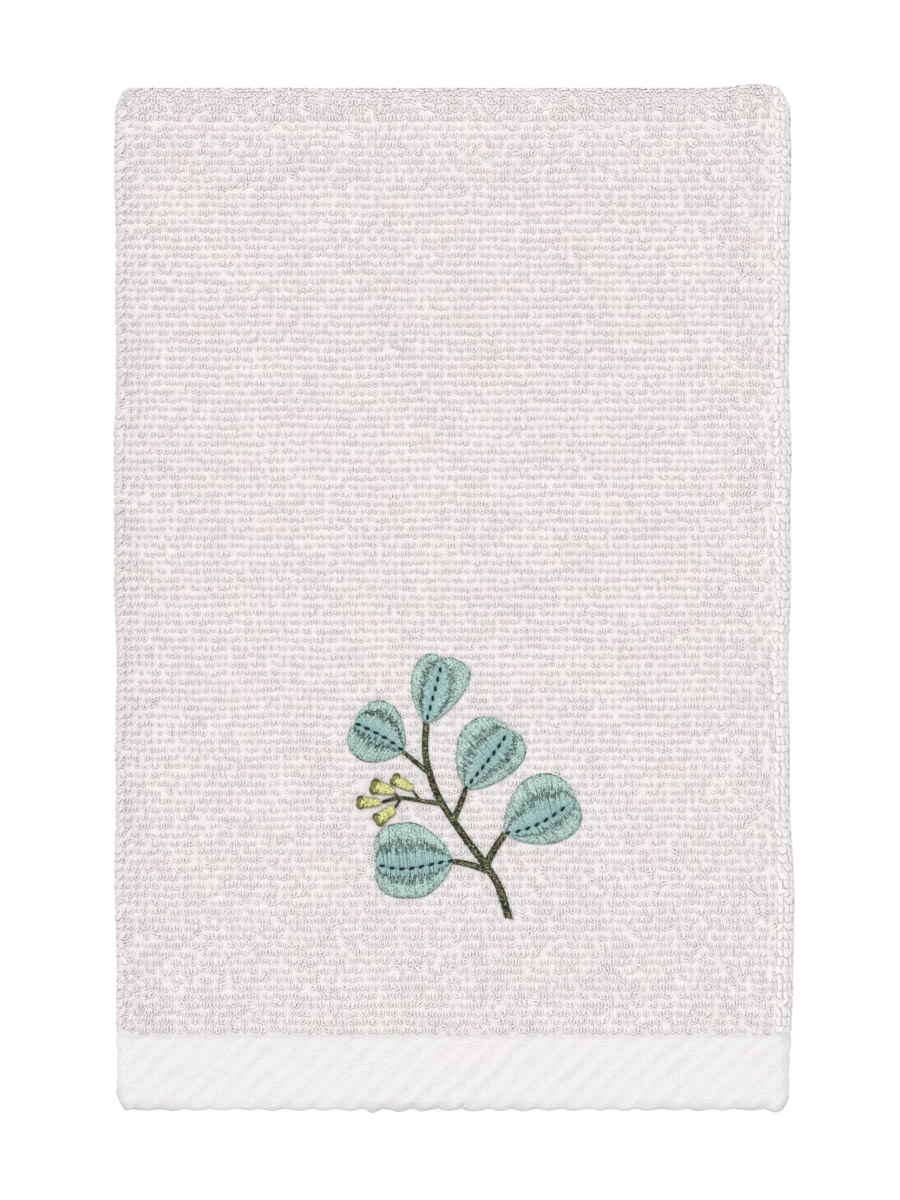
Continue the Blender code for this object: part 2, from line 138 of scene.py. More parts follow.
Wave = namedtuple("Wave", "share y_reach z_reach phase")
EDGE_WAVES = (Wave(1.0, 13, math.inf, 0.0), Wave(0.6, 5.3, math.inf, 1.3), Wave(0.5, 31, 3.1, 0.0))

# ---- the sprig, in millimetres on the face from its centre -------------------------------------------------
# A leaf's left and right halves lie either side of its midrib, seen from base to tip. A half is widest at
# the share full of the leaf's length. The root of a stitch is mixed from two places of the midrib by the
# share square: the one abreast of the stitch's end, and the one at its share of the edge to the power fan,
# which leans it to the tip. meet is how far out the half's two bands of stitches meet, and dark how dark the
# painted shade in the gaps there is. blunt is the power of the outline towards the tip, which is drawn back
# by the notch. The midrib bends by bow to the left, most at the share bow_at. Its run stitches go from the
# share vein_from to vein_to, over a cord that is vein_width wide and vein_light light.

Half = namedtuple("Half", "width full fan square meet dark")
Leaf = namedtuple("Leaf", "name base tip left right notch blunt bow bow_at "
                          "vein_from vein_to vein_width vein_light")
LEAVES = (
    Leaf("leaf_1", (-6.2, -28.6), (-2.4, -14.3), Half(5.8, 0.58, 1.9, 0.3, 0.53, 0.9),
         Half(7.1, 0.74, 2.1, 0.0, 0.53, 0.55), 0.9, 3.0, -0.1, 0.42, 0.05, 0.86, 0.26, 0.9),
    Leaf("leaf_2", (-11.7, -35.3), (-22.5, -29.0), Half(6.7, 0.54, 1.2, 0.75, 0.30, 1.2),
         Half(7.8, 0.56, 1.1, 0.8, 0.60, 1.2), 0.6, 2.5, -0.5, 0.42, 0.02, 0.98, 0.75, 0.3),
    Leaf("leaf_3", (3.0, -44.0), (12.9, -30.8), Half(8.6, 0.56, 1.45, 0.6, 0.52, 0.7),
         Half(6.7, 0.66, 1.3, 0.9, 0.46, 0.9), 0.9, 2.6, -0.3, 0.60, -0.02, 0.90, 0.26, 0.8),
    Leaf("leaf_4", (12.3, -54.3), (28.2, -46.7), Half(9.1, 0.53, 1.1, 0.3, 0.54, 0.75),
         Half(7.2, 0.58, 1.7, 0.6, 0.38, 0.6), 0.4, 2.6, -1.4, 0.42, 0.0, 0.82, 0.28, 0.8),
    Leaf("leaf_5", (-0.3, -60.8), (-17.4, -61.7), Half(8.1, 0.44, 0.95, 0.9, 0.36, 0.85),
         Half(9.3, 0.52, 1.25, 0.9, 0.51, 0.85), 0.6, 3.4, 1.3, 0.62, 0.0, 0.96, 0.4, 0.5),
)
BASE_POINTED, NOTCH_WIDTH = 1.50, 1.1

Branch = namedtuple("Branch", "name root_width end_width points")
STEM = (
    Branch("main stem", 1.9, 1.5, ((12.9, -74.1), (10.6, -66.8), (7.5, -61.8), (1.4, -53.5),
                                   (-3.5, -45.8), (-6.0, -38.4), (-6.5, -34.0), (-6.2, -29.0))),
    Branch("to leaf 2", 1.2, 1.0, ((-5.9, -40.3), (-9.0, -37.7), (-11.5, -35.6))),
    Branch("to leaf 3", 1.5, 1.3, ((-0.1, -51.8), (1.7, -47.7), (2.9, -44.4))),
    Branch("to leaf 4", 1.8, 1.6, ((7.5, -62.2), (9.5, -58.3), (11.9, -54.7))),
    Branch("to leaf 5", 1.6, 1.3, ((7.9, -63.1), (3.9, -61.7), (0.1, -60.9))),
    Branch("bud twig", 1.1, 0.8, ((-2.8, -47.6), (-7.6, -46.9), (-12.3, -46.3), (-16.4, -47.2))),
    Branch("twig to bud 4", 0.6, 0.55, ((-7.4, -47.1), (-9.3, -44.6))),
    Branch("twig to bud 1", 0.65, 0.6, ((-11.8, -46.6), (-13.5, -45.3))),
    Branch("twig to bud 3", 0.65, 0.6, ((-11.9, -46.1), (-13.4, -48.5))),
)
Bud = namedtuple("Bud", "name neck_x neck_y cap_x cap_y neck_width cap_width")
BUDS = (
    Bud("bud_1", -13.8, -44.9, -19.2, -43.3, 1.5, 4.0),
    Bud("bud_2", -17.0, -47.4, -22.4, -47.3, 1.6, 3.2),
    Bud("bud_3", -13.7, -48.9, -18.1, -51.9, 2.4, 3.5),
    Bud("bud_4", -9.7, -44.2, -14.2, -41.5, 1.8, 3.2),
)

# ---- the picture -------------------------------------------------------------------------------------------

PICTURE_WIDTH, PICTURE_HEIGHT = 900, 1200
PIXEL = 0.2315                  # millimetres on the face for one pixel of the picture
FACE_AT = (453.0, 598.0)        # pixel of the face's centre
LENS, SENSOR = 135.0, 36.0


# ---- settings ----------------------------------------------------------------------------------------------

def length(name, description, default):
    return FloatProperty(name=name, description=description, default=default * MM, unit="LENGTH", min=0.0,
                         precision=5)


def share(name, description, default):
    return FloatProperty(name=name, description=description, default=default, min=0.0, max=4.0)


def colour(name, description, default):
    return FloatVectorProperty(name=name, description=description, default=default, subtype="COLOR", size=3,
                               min=0.0, max=1.0)


class TowelCloth(bpy.types.PropertyGroup):
    """Sizes of the ground cloth and the flat headings."""
    ground: length("Ground", "Thickness of the woven ground with the packed roots of the pile", 1.45)
    side_hem: length("Side hem", "Thickness of the turned side hems", 1.7)
    rib_pitch: length("Rib pitch", "Distance across between the diagonal ribs of the heading", 5.8)
    rib_height: length("Rib height", "How far a rib of the heading stands up", 0.27)
    rib_slant: share("Rib slant", "How far across a rib goes for each length that it goes along", 1.05)
    scallop: share("Scallop", "How much stronger the ribs are round the end hem", 1.5)
    hem_stitch: length("Hem stitch", "Length of a stitch of the side hem", 2.6)
    white: colour("White", "Bleached cotton of the heading", (0.805, 0.79, 0.783))
    white_shade: colour("White, shaded", "The same in its hollows and round the hem", (0.66, 0.64, 0.635))


class TowelPile(bpy.types.PropertyGroup):
    """Sizes and colours of the terry loops. Distances across are on the tips of the pile."""
    across: length("Across", "Distance between the columns of loops", 1.521)
    along: length("Along", "Distance between the rows of loops", 1.968)
    reach: length("Reach", "Length of a loop from its root to its tip", 2.75)
    height: length("Height", "How far a loop rises from its root", 0.9)
    width: length("Width", "Full width of a plain loop", 1.90)
    yarn: length("Yarn", "Radius of the yarn of a fine loop", 0.37)
    legs: length("Legs", "Half the distance between the legs of a fine loop", 0.42)
    unevenness: share("Unevenness", "How far loops stray from their places and their slant", 1.0)
    seed: IntProperty(name="Seed", description="Start of the random strays", default=11)
    cotton: colour("Cotton", "Colour of the pile", (0.868, 0.829, 0.826))
    # The shade colour is painted shade: loops are drawn to it at their roots, in their hollows and by the
    # folds, and so is the ground cloth between them.
    shade: colour("Shade", "Colour at the roots of the loops", (0.73, 0.70, 0.698))


class TowelSprig(bpy.types.PropertyGroup):
    """Sizes and colours of the stitched sprig."""
    thread: length("Thread", "Width of a satin stitch before it is pressed flat", 0.40)
    spacing: length("Spacing", "Distance between satin stitches where their two bands meet", 0.47)
    crown: length("Crown", "How far a leaf half is raised between its vein and its edge", 0.46)
    vein_pitch: length("Vein pitch", "Distance between the run stitches of a vein", 2.29)
    stem_spacing: length("Stem spacing", "Distance between the stitches of the stem", 0.50)
    seed: IntProperty(name="Seed", description="Start of the random strays", default=5)
    leaf_light: colour("Leaf, light", "Lit leaf thread", (0.51, 0.68, 0.63))
    # The dark leaf colour is painted shade: the padding, the outline, the strands in the gaps, and the
    # stitches where the bands meet and at the edge are drawn towards it.
    leaf_painted_shade: colour("Leaf, dark", "Leaf thread where the bands of stitches meet", (0.03, 0.08, 0.065))
    leaf_vein_side: colour("Leaf, by the vein", "Bluer leaf thread beside the vein", (0.26, 0.45, 0.445))
    vein: colour("Vein", "Run stitches of the veins", (0.001, 0.014, 0.012))
    vein_cord: colour("Vein cord", "Thread between the run stitches", (0.26, 0.45, 0.445))
    stem_light: colour("Stem, light", "Lit stem thread", (0.36, 0.38, 0.19))
    stem_dark: colour("Stem, dark", "Stem thread in the shade", (0.010, 0.015, 0.004))
    bud_light: colour("Bud, light", "Lit bud thread", (0.76, 0.745, 0.32))
    bud_dark: colour("Bud, dark", "Bud thread in the shade", (0.22, 0.22, 0.05))
    cap: colour("Cap", "Thread round the open end of a bud", (0.06, 0.075, 0.006))


class TowelStudio(bpy.types.PropertyGroup):
    """The plain pale floor and soft light."""
    floor: colour("Floor", "Colour of the floor", (0.15, 0.15, 0.15))
    floor_glow: share("Floor glow", "Light that the floor gives off, as a lit white table does", 0.87)
    sky: share("Sky", "Strength of the even light from all round", 0.632)
    key: share("Key", "Strength of the light beyond the top fold at the left", 1.5)
    fill: share("Fill", "Strength of the light at the near right", 0.5)


GROUPS = (("cloth", TowelCloth), ("pile", TowelPile), ("sprig", TowelSprig), ("studio", TowelStudio))


def settings(context, name):
    return getattr(context.scene, "towel_" + name)


def mm(value):
    """A length property in millimetres."""
    return value / MM


# ---- the mapping from the flat cut -------------------------------------------------------------------------

def smooth(low, high, value):
    """0 below low, 1 above high, and a soft step between."""
    t = np.clip((value - low) / (high - low), 0, 1)
    return t * t * (3 - 2 * t)


def dome(value, power=0.5):
    """0 at 0 and at 1, and 1 in the middle: half a sine wave to a power."""
    return np.sin(np.pi * np.clip(value, 0, 1)).clip(0, 1) ** power


def distances(x, y):
    """How far along a line of points each of them is."""
    return np.concatenate(((0.0,), np.cumsum(np.hypot(np.diff(x), np.diff(y)))))


def marks(runs, out=0.0):
    """Distances where a path's runs start and end, measured out from it on the outer side of its left-hand
    folds: a straight keeps its length, and a fold of radius r takes half a turn of r + out or r - out."""
    lengths = [run.length or math.pi * (run.radius - out * math.copysign(1, run.turn)) for run in runs]
    return np.concatenate(((0.0,), np.cumsum(lengths)))


def path_rows(runs):
    """For each run of a path: its start distance, first point, heading and bend."""
    rows, x, y, heading = [], 0.0, 0.0, 0.0
    for run, reach, end in zip(runs, marks(runs), marks(runs)[1:]):
        turn = math.radians(run.turn)
        rows.append((reach, x, y, heading, turn / (end - reach)))
        chord = (end - reach) * np.sinc(turn / 2 / math.pi)
        x += chord * math.cos(heading + turn / 2)
        y += chord * math.sin(heading + turn / 2)
        heading += turn
    return np.array(rows)


def path_at(rows, reach):
    """Points and face-side normals at distances along a path.

    Within a run bent by b, the point at distance t is a chord t sin(bt/2) / (bt/2) from its start, in the
    direction midway between the headings there and here.
    """
    row = rows[np.clip(np.searchsorted(rows[:, 0], reach, "right") - 1, 0, len(rows) - 1)]
    start, x, y, heading, bend = np.moveaxis(row, -1, 0)
    t = reach - start
    half = bend * t / 2
    chord = t * np.sinc(half / np.pi)
    now = heading + 2 * half
    return x + chord * np.cos(heading + half), y + chord * np.sin(heading + half), -np.sin(now), np.cos(now)


WIDTH_ROWS, LENGTH_ROWS = path_rows(WIDTH_RUNS), path_rows(LENGTH_RUNS)
U_MARKS, V_MARKS = marks(WIDTH_RUNS), marks(LENGTH_RUNS)
CUT_LENGTH = V_MARKS[-1]
PILE_OUT = 1.0
P_MARKS = marks(WIDTH_RUNS, PILE_OUT)   # where the same runs start on the tips of the pile


def pile_share(along):
    """1 in the terry and 0 in the headings, with a short step between."""
    from_end = np.minimum(along, CUT_LENGTH - along)
    return np.clip((from_end - HEADING_DEPTH + PILE_STEP) / PILE_STEP, 0, 1)


def fold_stand(across, along):
    """How much further out the pile stands where the cloth is folded: flat-topped bells over the side folds
    and the top fold."""
    def bell(value, marks_at, run):
        low, high = marks_at[run], marks_at[run + 1]
        return np.exp(-((2 * value - low - high) / (0.84 * (high - low))) ** 4)
    sides = bell(across, U_MARKS, 1) + bell(across, U_MARKS, 3)
    return FOLD_STANDS * np.minimum(sides + 1.5 * bell(along, V_MARKS, 1), 1.6)


def folded(across, along, rise):
    """Where a place of the flat cut goes in the squarely folded stack.

    The distance across gives a point and a normal of the strip's section, and the distance along gives a
    point and a normal of the strip's own line. The height in the section is measured along the second
    normal. In the headings the thinner layers lie closer.
    """
    section_x, section_height, normal_x, normal_height = path_at(WIDTH_ROWS, across)
    x = LEFT_FLAP + LEFT_RADIUS + TERRY / 2 - FACE_WIDTH / 2 - section_x - rise * normal_x
    pile = pile_share(along)
    close = (HEADING_PITCH + (PITCH - HEADING_PITCH) * pile) / PITCH
    height = -section_height * close - HEADING_DROP * (1 - pile) - rise * normal_height
    line_y, line_z, normal_y, normal_z = path_at(LENGTH_ROWS, along)
    y = line_y - FACE_LENGTH / 2 + height * normal_y
    z = line_z + STACK - STRIP / 2 + height * normal_z
    return x, y, z


def settled(x, y, z):
    """How the squarely folded stack really lies: corners drawn in, swells, a bulge, edges that wander.

    Each term is a bell or a soft step of the place, as in the solid. The underside stays flat, because every
    rise grows with the square of the height above it.
    """
    high = z / STACK
    front = smooth(FRONT_FROM, FRONT_FULL, high)
    half_width, half_length = FACE_WIDTH / 2, FACE_LENGTH / 2
    rise = sum(s.rise * np.exp(-(((x - s.x) / s.across) ** 2 + ((y - s.y) / s.along) ** 2)) for s in SWELLS)
    new_y = y.copy()
    for corner in CORNERS:
        inward = np.clip((corner.side * x - half_width + corner.width) / corner.width, 0, 1)
        near = smooth(half_length - corner.reach, half_length, corner.end * y)
        felt = corner.low + (1 - corner.low) * front
        new_y -= corner.end * corner.drawn_in * inward ** 2 * near * felt
    lump = np.exp(-(((x - LUMP_AT) / LUMP_REACH) ** 2)) * smooth(half_length - LUMP_DEPTH, half_length, y)
    new_y += TOP_LUMP * lump * front
    new_x = x * (1 - LOWER_NARROW * (1 - high))
    bulge = np.exp(-(((y - BULGE_AT) / BULGE_REACH) ** 2)) * (BULGE_LOW + (1 - BULGE_LOW) * front)
    new_x += RIGHT_BULGE * np.clip(x / half_width, 0, 1) ** 4 * bulge
    wander = sum(w.share * np.sin(y / w.y_reach + z / w.z_reach + w.phase) for w in EDGE_WAVES)
    new_x += EDGE_WANDER * (x / half_width) ** 3 * wander
    return np.stack((new_x, new_y, z + rise * high ** 2), axis=-1)


def solid_shift():
    """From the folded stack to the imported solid: between the middles of their boxes, and from floor to
    floor."""
    across, along, rise = np.meshgrid(np.linspace(0, CUT_WIDTH, 700), np.linspace(0, CUT_LENGTH, 900),
                                      (-TERRY / 2, TERRY / 2), indexing="ij")
    thick = rise * (HEADING + (TERRY - HEADING) * pile_share(along)) / TERRY
    points = settled(*folded(across, along, thick)).reshape(-1, 3)
    low, high = points.min(axis=0), points.max(axis=0)
    box_low, box_high = (np.array(corner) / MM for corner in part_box("towel"))
    shift = (box_low + box_high - low - high) / 2
    shift[2] = box_low[2] - low[2]
    return shift


SHIFT = solid_shift()


def on_cloth(across, along, rise):
    """Places of the flat cut, as points of the finished towel. Close to the floor they are pressed flat: a
    height under the squash height h becomes h exp(height / h - 1), which never reaches the floor."""
    points = settled(*folded(across, along, rise)) + SHIFT
    over = points[..., 2] / SQUASH - 1
    points[..., 2] = np.where(over < 0, SQUASH * np.exp(over), points[..., 2])
    return points


def on_face(x, y, lift):
    """Places on the face, lift above the tips of its pile, as points of the finished towel."""
    x, y, lift = np.broadcast_arrays(np.asarray(x, float), y, lift)
    return settled(x, y, STACK + lift) + SHIFT


def drift(x, y, scale, seed):
    """A smooth random field of about -1 to 1: six sine waves in random directions, with wavelengths around
    scale, added up and divided by their usual sum."""
    rng = np.random.default_rng(seed)
    total = 0.0
    for angle, size, phase in zip(rng.uniform(0, 2 * np.pi, 6), rng.uniform(0.6, 1.6, 6),
                                  rng.uniform(0, 2 * np.pi, 6)):
        total = total + np.sin(2 * np.pi * (x * np.cos(angle) + y * np.sin(angle)) / (scale * size) + phase)
    return total / 3


def drifts(x, y, *terms):
    """A sum of random fields, each given as its part, its wavelength and its seed."""
    return sum(part * drift(x, y, scale, seed) for part, scale, seed in terms)


# ---- meshes from arrays ------------------------------------------------------------------------------------

class Patch:
    """Points, faces by their number of corners, and named values for each point, all as arrays."""

    def __init__(self, points, faces, **values):
        self.points = np.asarray(points, float).reshape(-1, 3)
        self.faces = [np.asarray(part) for part in faces]
        self.values = {name: np.broadcast_to(np.asarray(value, float).ravel(), len(self.points))
                       for name, value in values.items()}

    def outward(self):
        """The same patch with its faces turned, if its signed volume says that they point in."""
        volume = 0.0
        for part in self.faces:
            for corner in range(1, part.shape[1] - 1):
                a, b, c = (self.points[part[:, k]] for k in (0, corner, corner + 1))
                volume += (a * np.cross(b, c)).sum()
        if volume < 0:
            self.faces = [part[:, ::-1] for part in self.faces]
        return self


def joined(patches):
    """Several patches as one, their points one after another."""
    offsets = np.cumsum([0] + [len(patch.points) for patch in patches])
    faces = [part + offset for patch, offset in zip(patches, offsets) for part in patch.faces]
    values = {name: np.concatenate([patch.values[name] for patch in patches]) for name in patches[0].values}
    return Patch(np.concatenate([patch.points for patch in patches]), faces, **values)


def make_piece(name, patch, material, replaces=()):
    """A mesh object at the origin from a patch, riding on the towel, in place of the named solids."""
    old = bpy.data.objects.get(name)
    if old:
        bpy.data.objects.remove(old)
    mesh = bpy.data.meshes.new(name)
    mesh.vertices.add(len(patch.points))
    mesh.vertices.foreach_set("co", (patch.points * MM).astype(np.float32).ravel())
    corners = np.concatenate([part.ravel() for part in patch.faces]).astype(np.int32)
    sizes = np.concatenate([np.full(len(part), part.shape[1]) for part in patch.faces])
    mesh.loops.add(len(corners))
    mesh.loops.foreach_set("vertex_index", corners)
    mesh.polygons.add(len(sizes))
    mesh.polygons.foreach_set("loop_start", np.concatenate(((0,), np.cumsum(sizes)[:-1])).astype(np.int32))
    mesh.update(calc_edges=True)
    if mesh.validate():
        raise RuntimeError(f"{name}: the mesh held faults")
    for key, value in patch.values.items():
        mesh.attributes.new(key, "FLOAT", "POINT").data.foreach_set("value", value.astype(np.float32))
    mesh.shade_smooth()
    mesh.materials.append(material)
    piece = bpy.data.objects.new(name, mesh)
    bpy.context.scene.collection.objects.link(piece)
    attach(piece, BODY)
    if replaces:
        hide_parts(*replaces)
    return piece


def ring_sweep(points, **values):
    """A closed skin from (stations, ring, 3) points: quads round and along, and at both ends a strip of quads
    between the two halves of the ring."""
    stations, ring = points.shape[:2]
    number = np.arange(stations * ring).reshape(stations, ring)
    after = np.roll(number, -1, axis=1)
    sides = np.stack((number[:-1], after[:-1], after[1:], number[1:]), axis=-1).reshape(-1, 4)
    k = np.arange(ring // 2 - 1)
    ends = [np.stack((row[k], row[ring - 1 - k], row[ring - 2 - k], row[k + 1]), axis=-1)
            for row in (number[0], number[-1])]
    return Patch(points, (sides, ends[0], ends[1][:, ::-1]), **values).outward()


def tube_faces(count, rings, sides):
    """Faces of many like tubes whose points are a start pole, rings of points and an end pole."""
    size = rings * sides + 2
    s = np.arange(sides)
    after = (s + 1) % sides
    ring = (np.arange(rings - 1) * sides + 1)[:, None]
    walls = np.stack((ring + s, ring + after, ring + sides + after, ring + sides + s), axis=-1).reshape(-1, 4)
    start = np.stack((np.zeros_like(s), 1 + after, 1 + s), axis=-1)
    last = 1 + (rings - 1) * sides
    end = np.stack((np.full_like(s, size - 1), last + s, last + after), axis=-1)
    offset = (np.arange(count) * size)[:, None, None]
    return [(walls + offset).reshape(-1, 4), (np.concatenate((start, end)) + offset).reshape(-1, 3)]


def threads(paths, wide, high, sides=5, **values):
    """Closed threads along (count, stations, 3) paths of face places; the first and last are their poles.

    Round every other station lies a ring: wide times the cosine aside, plus high times the sine up. values
    are given for each station, or for each thread, and follow the points.
    """
    count, stations = paths.shape[:2]
    forward = np.gradient(paths, axis=1)
    forward[..., 2] = 0
    forward /= np.linalg.norm(forward, axis=-1, keepdims=True) + 1e-9
    aside = np.stack((-forward[..., 1], forward[..., 0], np.zeros((count, stations))), axis=-1)
    up = np.array((0.0, 0.0, 1.0))
    angle = 2 * np.pi * (np.arange(sides) + 0.5) / sides + np.pi / 2
    wide, high = (np.broadcast_to(value, (count, stations))[:, 1:-1, None, None] for value in (wide, high))
    rings = (paths[:, 1:-1, None] + wide * np.cos(angle)[:, None] * aside[:, 1:-1, None]
             + high * np.sin(angle)[:, None] * up)
    points = np.concatenate((paths[:, :1], rings.reshape(count, -1, 3), paths[:, -1:]), axis=1)
    spread = {}
    for name, value in values.items():
        value = np.broadcast_to(value, (count, stations))
        inner = np.repeat(value[:, 1:-1], sides, axis=1)
        spread[name] = np.concatenate((value[:, :1], inner, value[:, -1:]), axis=1)
    points = on_face(*np.moveaxis(points, -1, 0))
    return Patch(points, tube_faces(count, stations - 2, sides), **spread).outward()


# ---- materials ---------------------------------------------------------------------------------------------

TWIST = 0.45                    # millimetres along a thread for one turn of its filaments
COTTON_RELIEF, THREAD_RELIEF = 0.12 * MM, 0.03 * MM


def add(tree, kind, inputs=None, **options):
    """A node with its options set, its inputs given as values or as sockets to link."""
    node = tree.nodes.new(kind)
    for key, value in options.items():
        setattr(node, key, value)
    for key, value in (inputs or {}).items():
        if isinstance(value, bpy.types.NodeSocket):
            tree.links.new(value, node.inputs[key])
        else:
            node.inputs[key].default_value = value
    return node


def maths(tree, operation, *values, clamp=False):
    node = add(tree, "ShaderNodeMath", dict(enumerate(values)), operation=operation, use_clamp=clamp)
    return node.outputs[0]


def mixed(tree, factor, a, b, blend="MIX"):
    """One colour mixed with another."""
    node = add(tree, "ShaderNodeMix", data_type="RGBA", blend_type=blend)
    for name, value in (("Factor", factor), ("A", a), ("B", b)):
        socket = next(s for s in node.inputs if s.name == name and s.enabled)
        if isinstance(value, bpy.types.NodeSocket):
            tree.links.new(value, socket)
        else:
            socket.default_value = value
    return next(s for s in node.outputs if s.enabled)


def group(name, inputs, outputs, build):
    """A node group, built once: sockets are (name, kind, default)."""
    old = bpy.data.node_groups.get(name)
    if old:
        return old
    tree = bpy.data.node_groups.new(name, "ShaderNodeTree")
    for title, kind, default in inputs:
        socket = tree.interface.new_socket(name=title, in_out="INPUT", socket_type="NodeSocket" + kind)
        if default is not None:
            socket.default_value = default
    for title, kind in outputs:
        tree.interface.new_socket(name=title, in_out="OUTPUT", socket_type="NodeSocket" + kind)
    given = tree.nodes.new("NodeGroupInput")
    result = tree.nodes.new("NodeGroupOutput")
    build(tree, given.outputs, result.inputs)
    return tree


def mottle_group():
    """Uneven cotton: a base colour drawn towards a shade colour by a mask of painted shade, tinted in soft
    patches of warm and cool, and lightened and darkened by fine grain."""
    def build(tree, given, result):
        patches = add(tree, "ShaderNodeTexNoise", {"Vector": given["Place"], "Scale": given["Patch Scale"],
                                                   "Detail": 2.0, "Roughness": 0.6})
        grain = add(tree, "ShaderNodeTexNoise", {"Vector": given["Place"], "Scale": given["Grain Scale"],
                                                 "Detail": 2.0})
        base = mixed(tree, given["Shading"], given["Colour"], given["Shade"])
        tint = mixed(tree, given["Tint"], (1, 1, 1, 1), patches.outputs["Color"], "MULTIPLY")
        level = maths(tree, "ADD", maths(tree, "MULTIPLY", maths(tree, "SUBTRACT", grain.outputs["Fac"], 0.5),
                                         given["Grain"]), 1.0)
        lift = maths(tree, "MULTIPLY", level,
                     maths(tree, "ADD", maths(tree, "MULTIPLY", given["Tint"], 0.5), 1.0))
        both = mixed(tree, 1.0, base, tint, "MULTIPLY")
        scaled = add(tree, "ShaderNodeVectorMath", {0: both, "Scale": lift}, operation="SCALE")
        tree.links.new(scaled.outputs[0], result["Colour"])
        tree.links.new(grain.outputs["Fac"], result["Grain"])

    return group("Cotton mottle", (
        ("Place", "Vector", None), ("Colour", "Color", (0.8, 0.8, 0.8, 1)),
        ("Shade", "Color", (0.6, 0.6, 0.6, 1)), ("Shading", "Float", 0.0), ("Tint", "Float", 0.1),
        ("Patch Scale", "Float", 60.0), ("Grain", "Float", 0.1), ("Grain Scale", "Float", 900.0),
    ), (("Colour", "Color"), ("Grain", "Float")), build)


def weave_group():
    """Plain weave as a height, from the product of two sine waves over the flat cut: rounded yarns, one over
    the other in turn. Over it lie uneven floats, a noise drawn out across, which also give a tone of painted
    light: lighter where the floats stand higher, darker where they lie lower."""
    def build(tree, given, result):
        def wave(distance, pitch):
            return maths(tree, "SINE", maths(tree, "DIVIDE", maths(tree, "MULTIPLY", distance, 2 * math.pi),
                                             pitch))

        crossing = maths(tree, "MULTIPLY", wave(given["Across"], given["Warp"]),
                         wave(given["Along"], given["Weft"]))
        place = add(tree, "ShaderNodeCombineXYZ", {
            "X": maths(tree, "DIVIDE", given["Across"], given["Float Length"]),
            "Y": maths(tree, "DIVIDE", given["Along"], given["Weft"])})
        noise = add(tree, "ShaderNodeTexNoise", {"Vector": place.outputs[0], "Scale": 1.0, "Detail": 1.0})
        floats = maths(tree, "MULTIPLY", maths(tree, "SUBTRACT", noise.outputs["Fac"], 0.5), given["Floats"])
        tree.links.new(maths(tree, "ADD", maths(tree, "MULTIPLY", crossing, 0.5),
                             maths(tree, "MULTIPLY", floats, 5.0)), result["Height"])
        # Painted light: the floats that stand higher are made lighter, those lower darker.
        tree.links.new(maths(tree, "MULTIPLY", floats, -1.0), result["Tone"])

    return group("Weave", (
        ("Across", "Float", 0.0), ("Along", "Float", 0.0), ("Warp", "Float", 0.8), ("Weft", "Float", 0.53),
        ("Float Length", "Float", 1.3), ("Floats", "Float", 0.0),
    ), (("Height", "Float"), ("Tone", "Float")), build)


def thread_group():
    """Stitching thread: dark to light by a shade value, which holds painted shade and random tone, with fine
    specks of painted glint where single filaments catch the light, drawn towards a third colour by a second
    value, and a height of fine twist along the thread."""
    def build(tree, given, result):
        noise = add(tree, "ShaderNodeTexNoise", {"Vector": given["Place"], "Scale": given["Speck Scale"],
                                                 "Detail": 1.0, "Roughness": 0.6})
        speck = maths(tree, "MULTIPLY", maths(tree, "SUBTRACT", noise.outputs["Fac"], 0.5), given["Specks"])
        shade = maths(tree, "ADD", given["Shade"], speck, clamp=True)
        lit = mixed(tree, shade, given["Dark"], given["Light"])
        whole = mixed(tree, given["Mix"], lit, given["Other"])
        twist = maths(tree, "SINE", maths(tree, "MULTIPLY", given["Run"], 2 * math.pi / TWIST))
        tree.links.new(whole, result["Colour"])
        tree.links.new(twist, result["Height"])

    return group("Thread", (
        ("Shade", "Float", 0.5), ("Mix", "Float", 0.0), ("Run", "Float", 0.0),
        ("Place", "Vector", (0, 0, 0)), ("Specks", "Float", 0.0), ("Speck Scale", "Float", 2600.0),
        ("Dark", "Color", (0.1, 0.1, 0.1, 1)), ("Light", "Color", (0.5, 0.5, 0.5, 1)),
        ("Other", "Color", (0.3, 0.3, 0.3, 1)),
    ), (("Colour", "Color"), ("Height", "Float")), build)


def new_material(name):
    """An empty material with a Principled shader, and that shader."""
    old = bpy.data.materials.get(name)
    if old:
        bpy.data.materials.remove(old)
    material = bpy.data.materials.new(name)
    material.use_nodes = True
    return material, material.node_tree, material.node_tree.nodes["Principled BSDF"]


def value_of(tree, name):
    """A piece's own value, as a socket."""
    return add(tree, "ShaderNodeAttribute", attribute_name=name).outputs["Fac"]


def rgba(value):
    return (*value, 1.0)


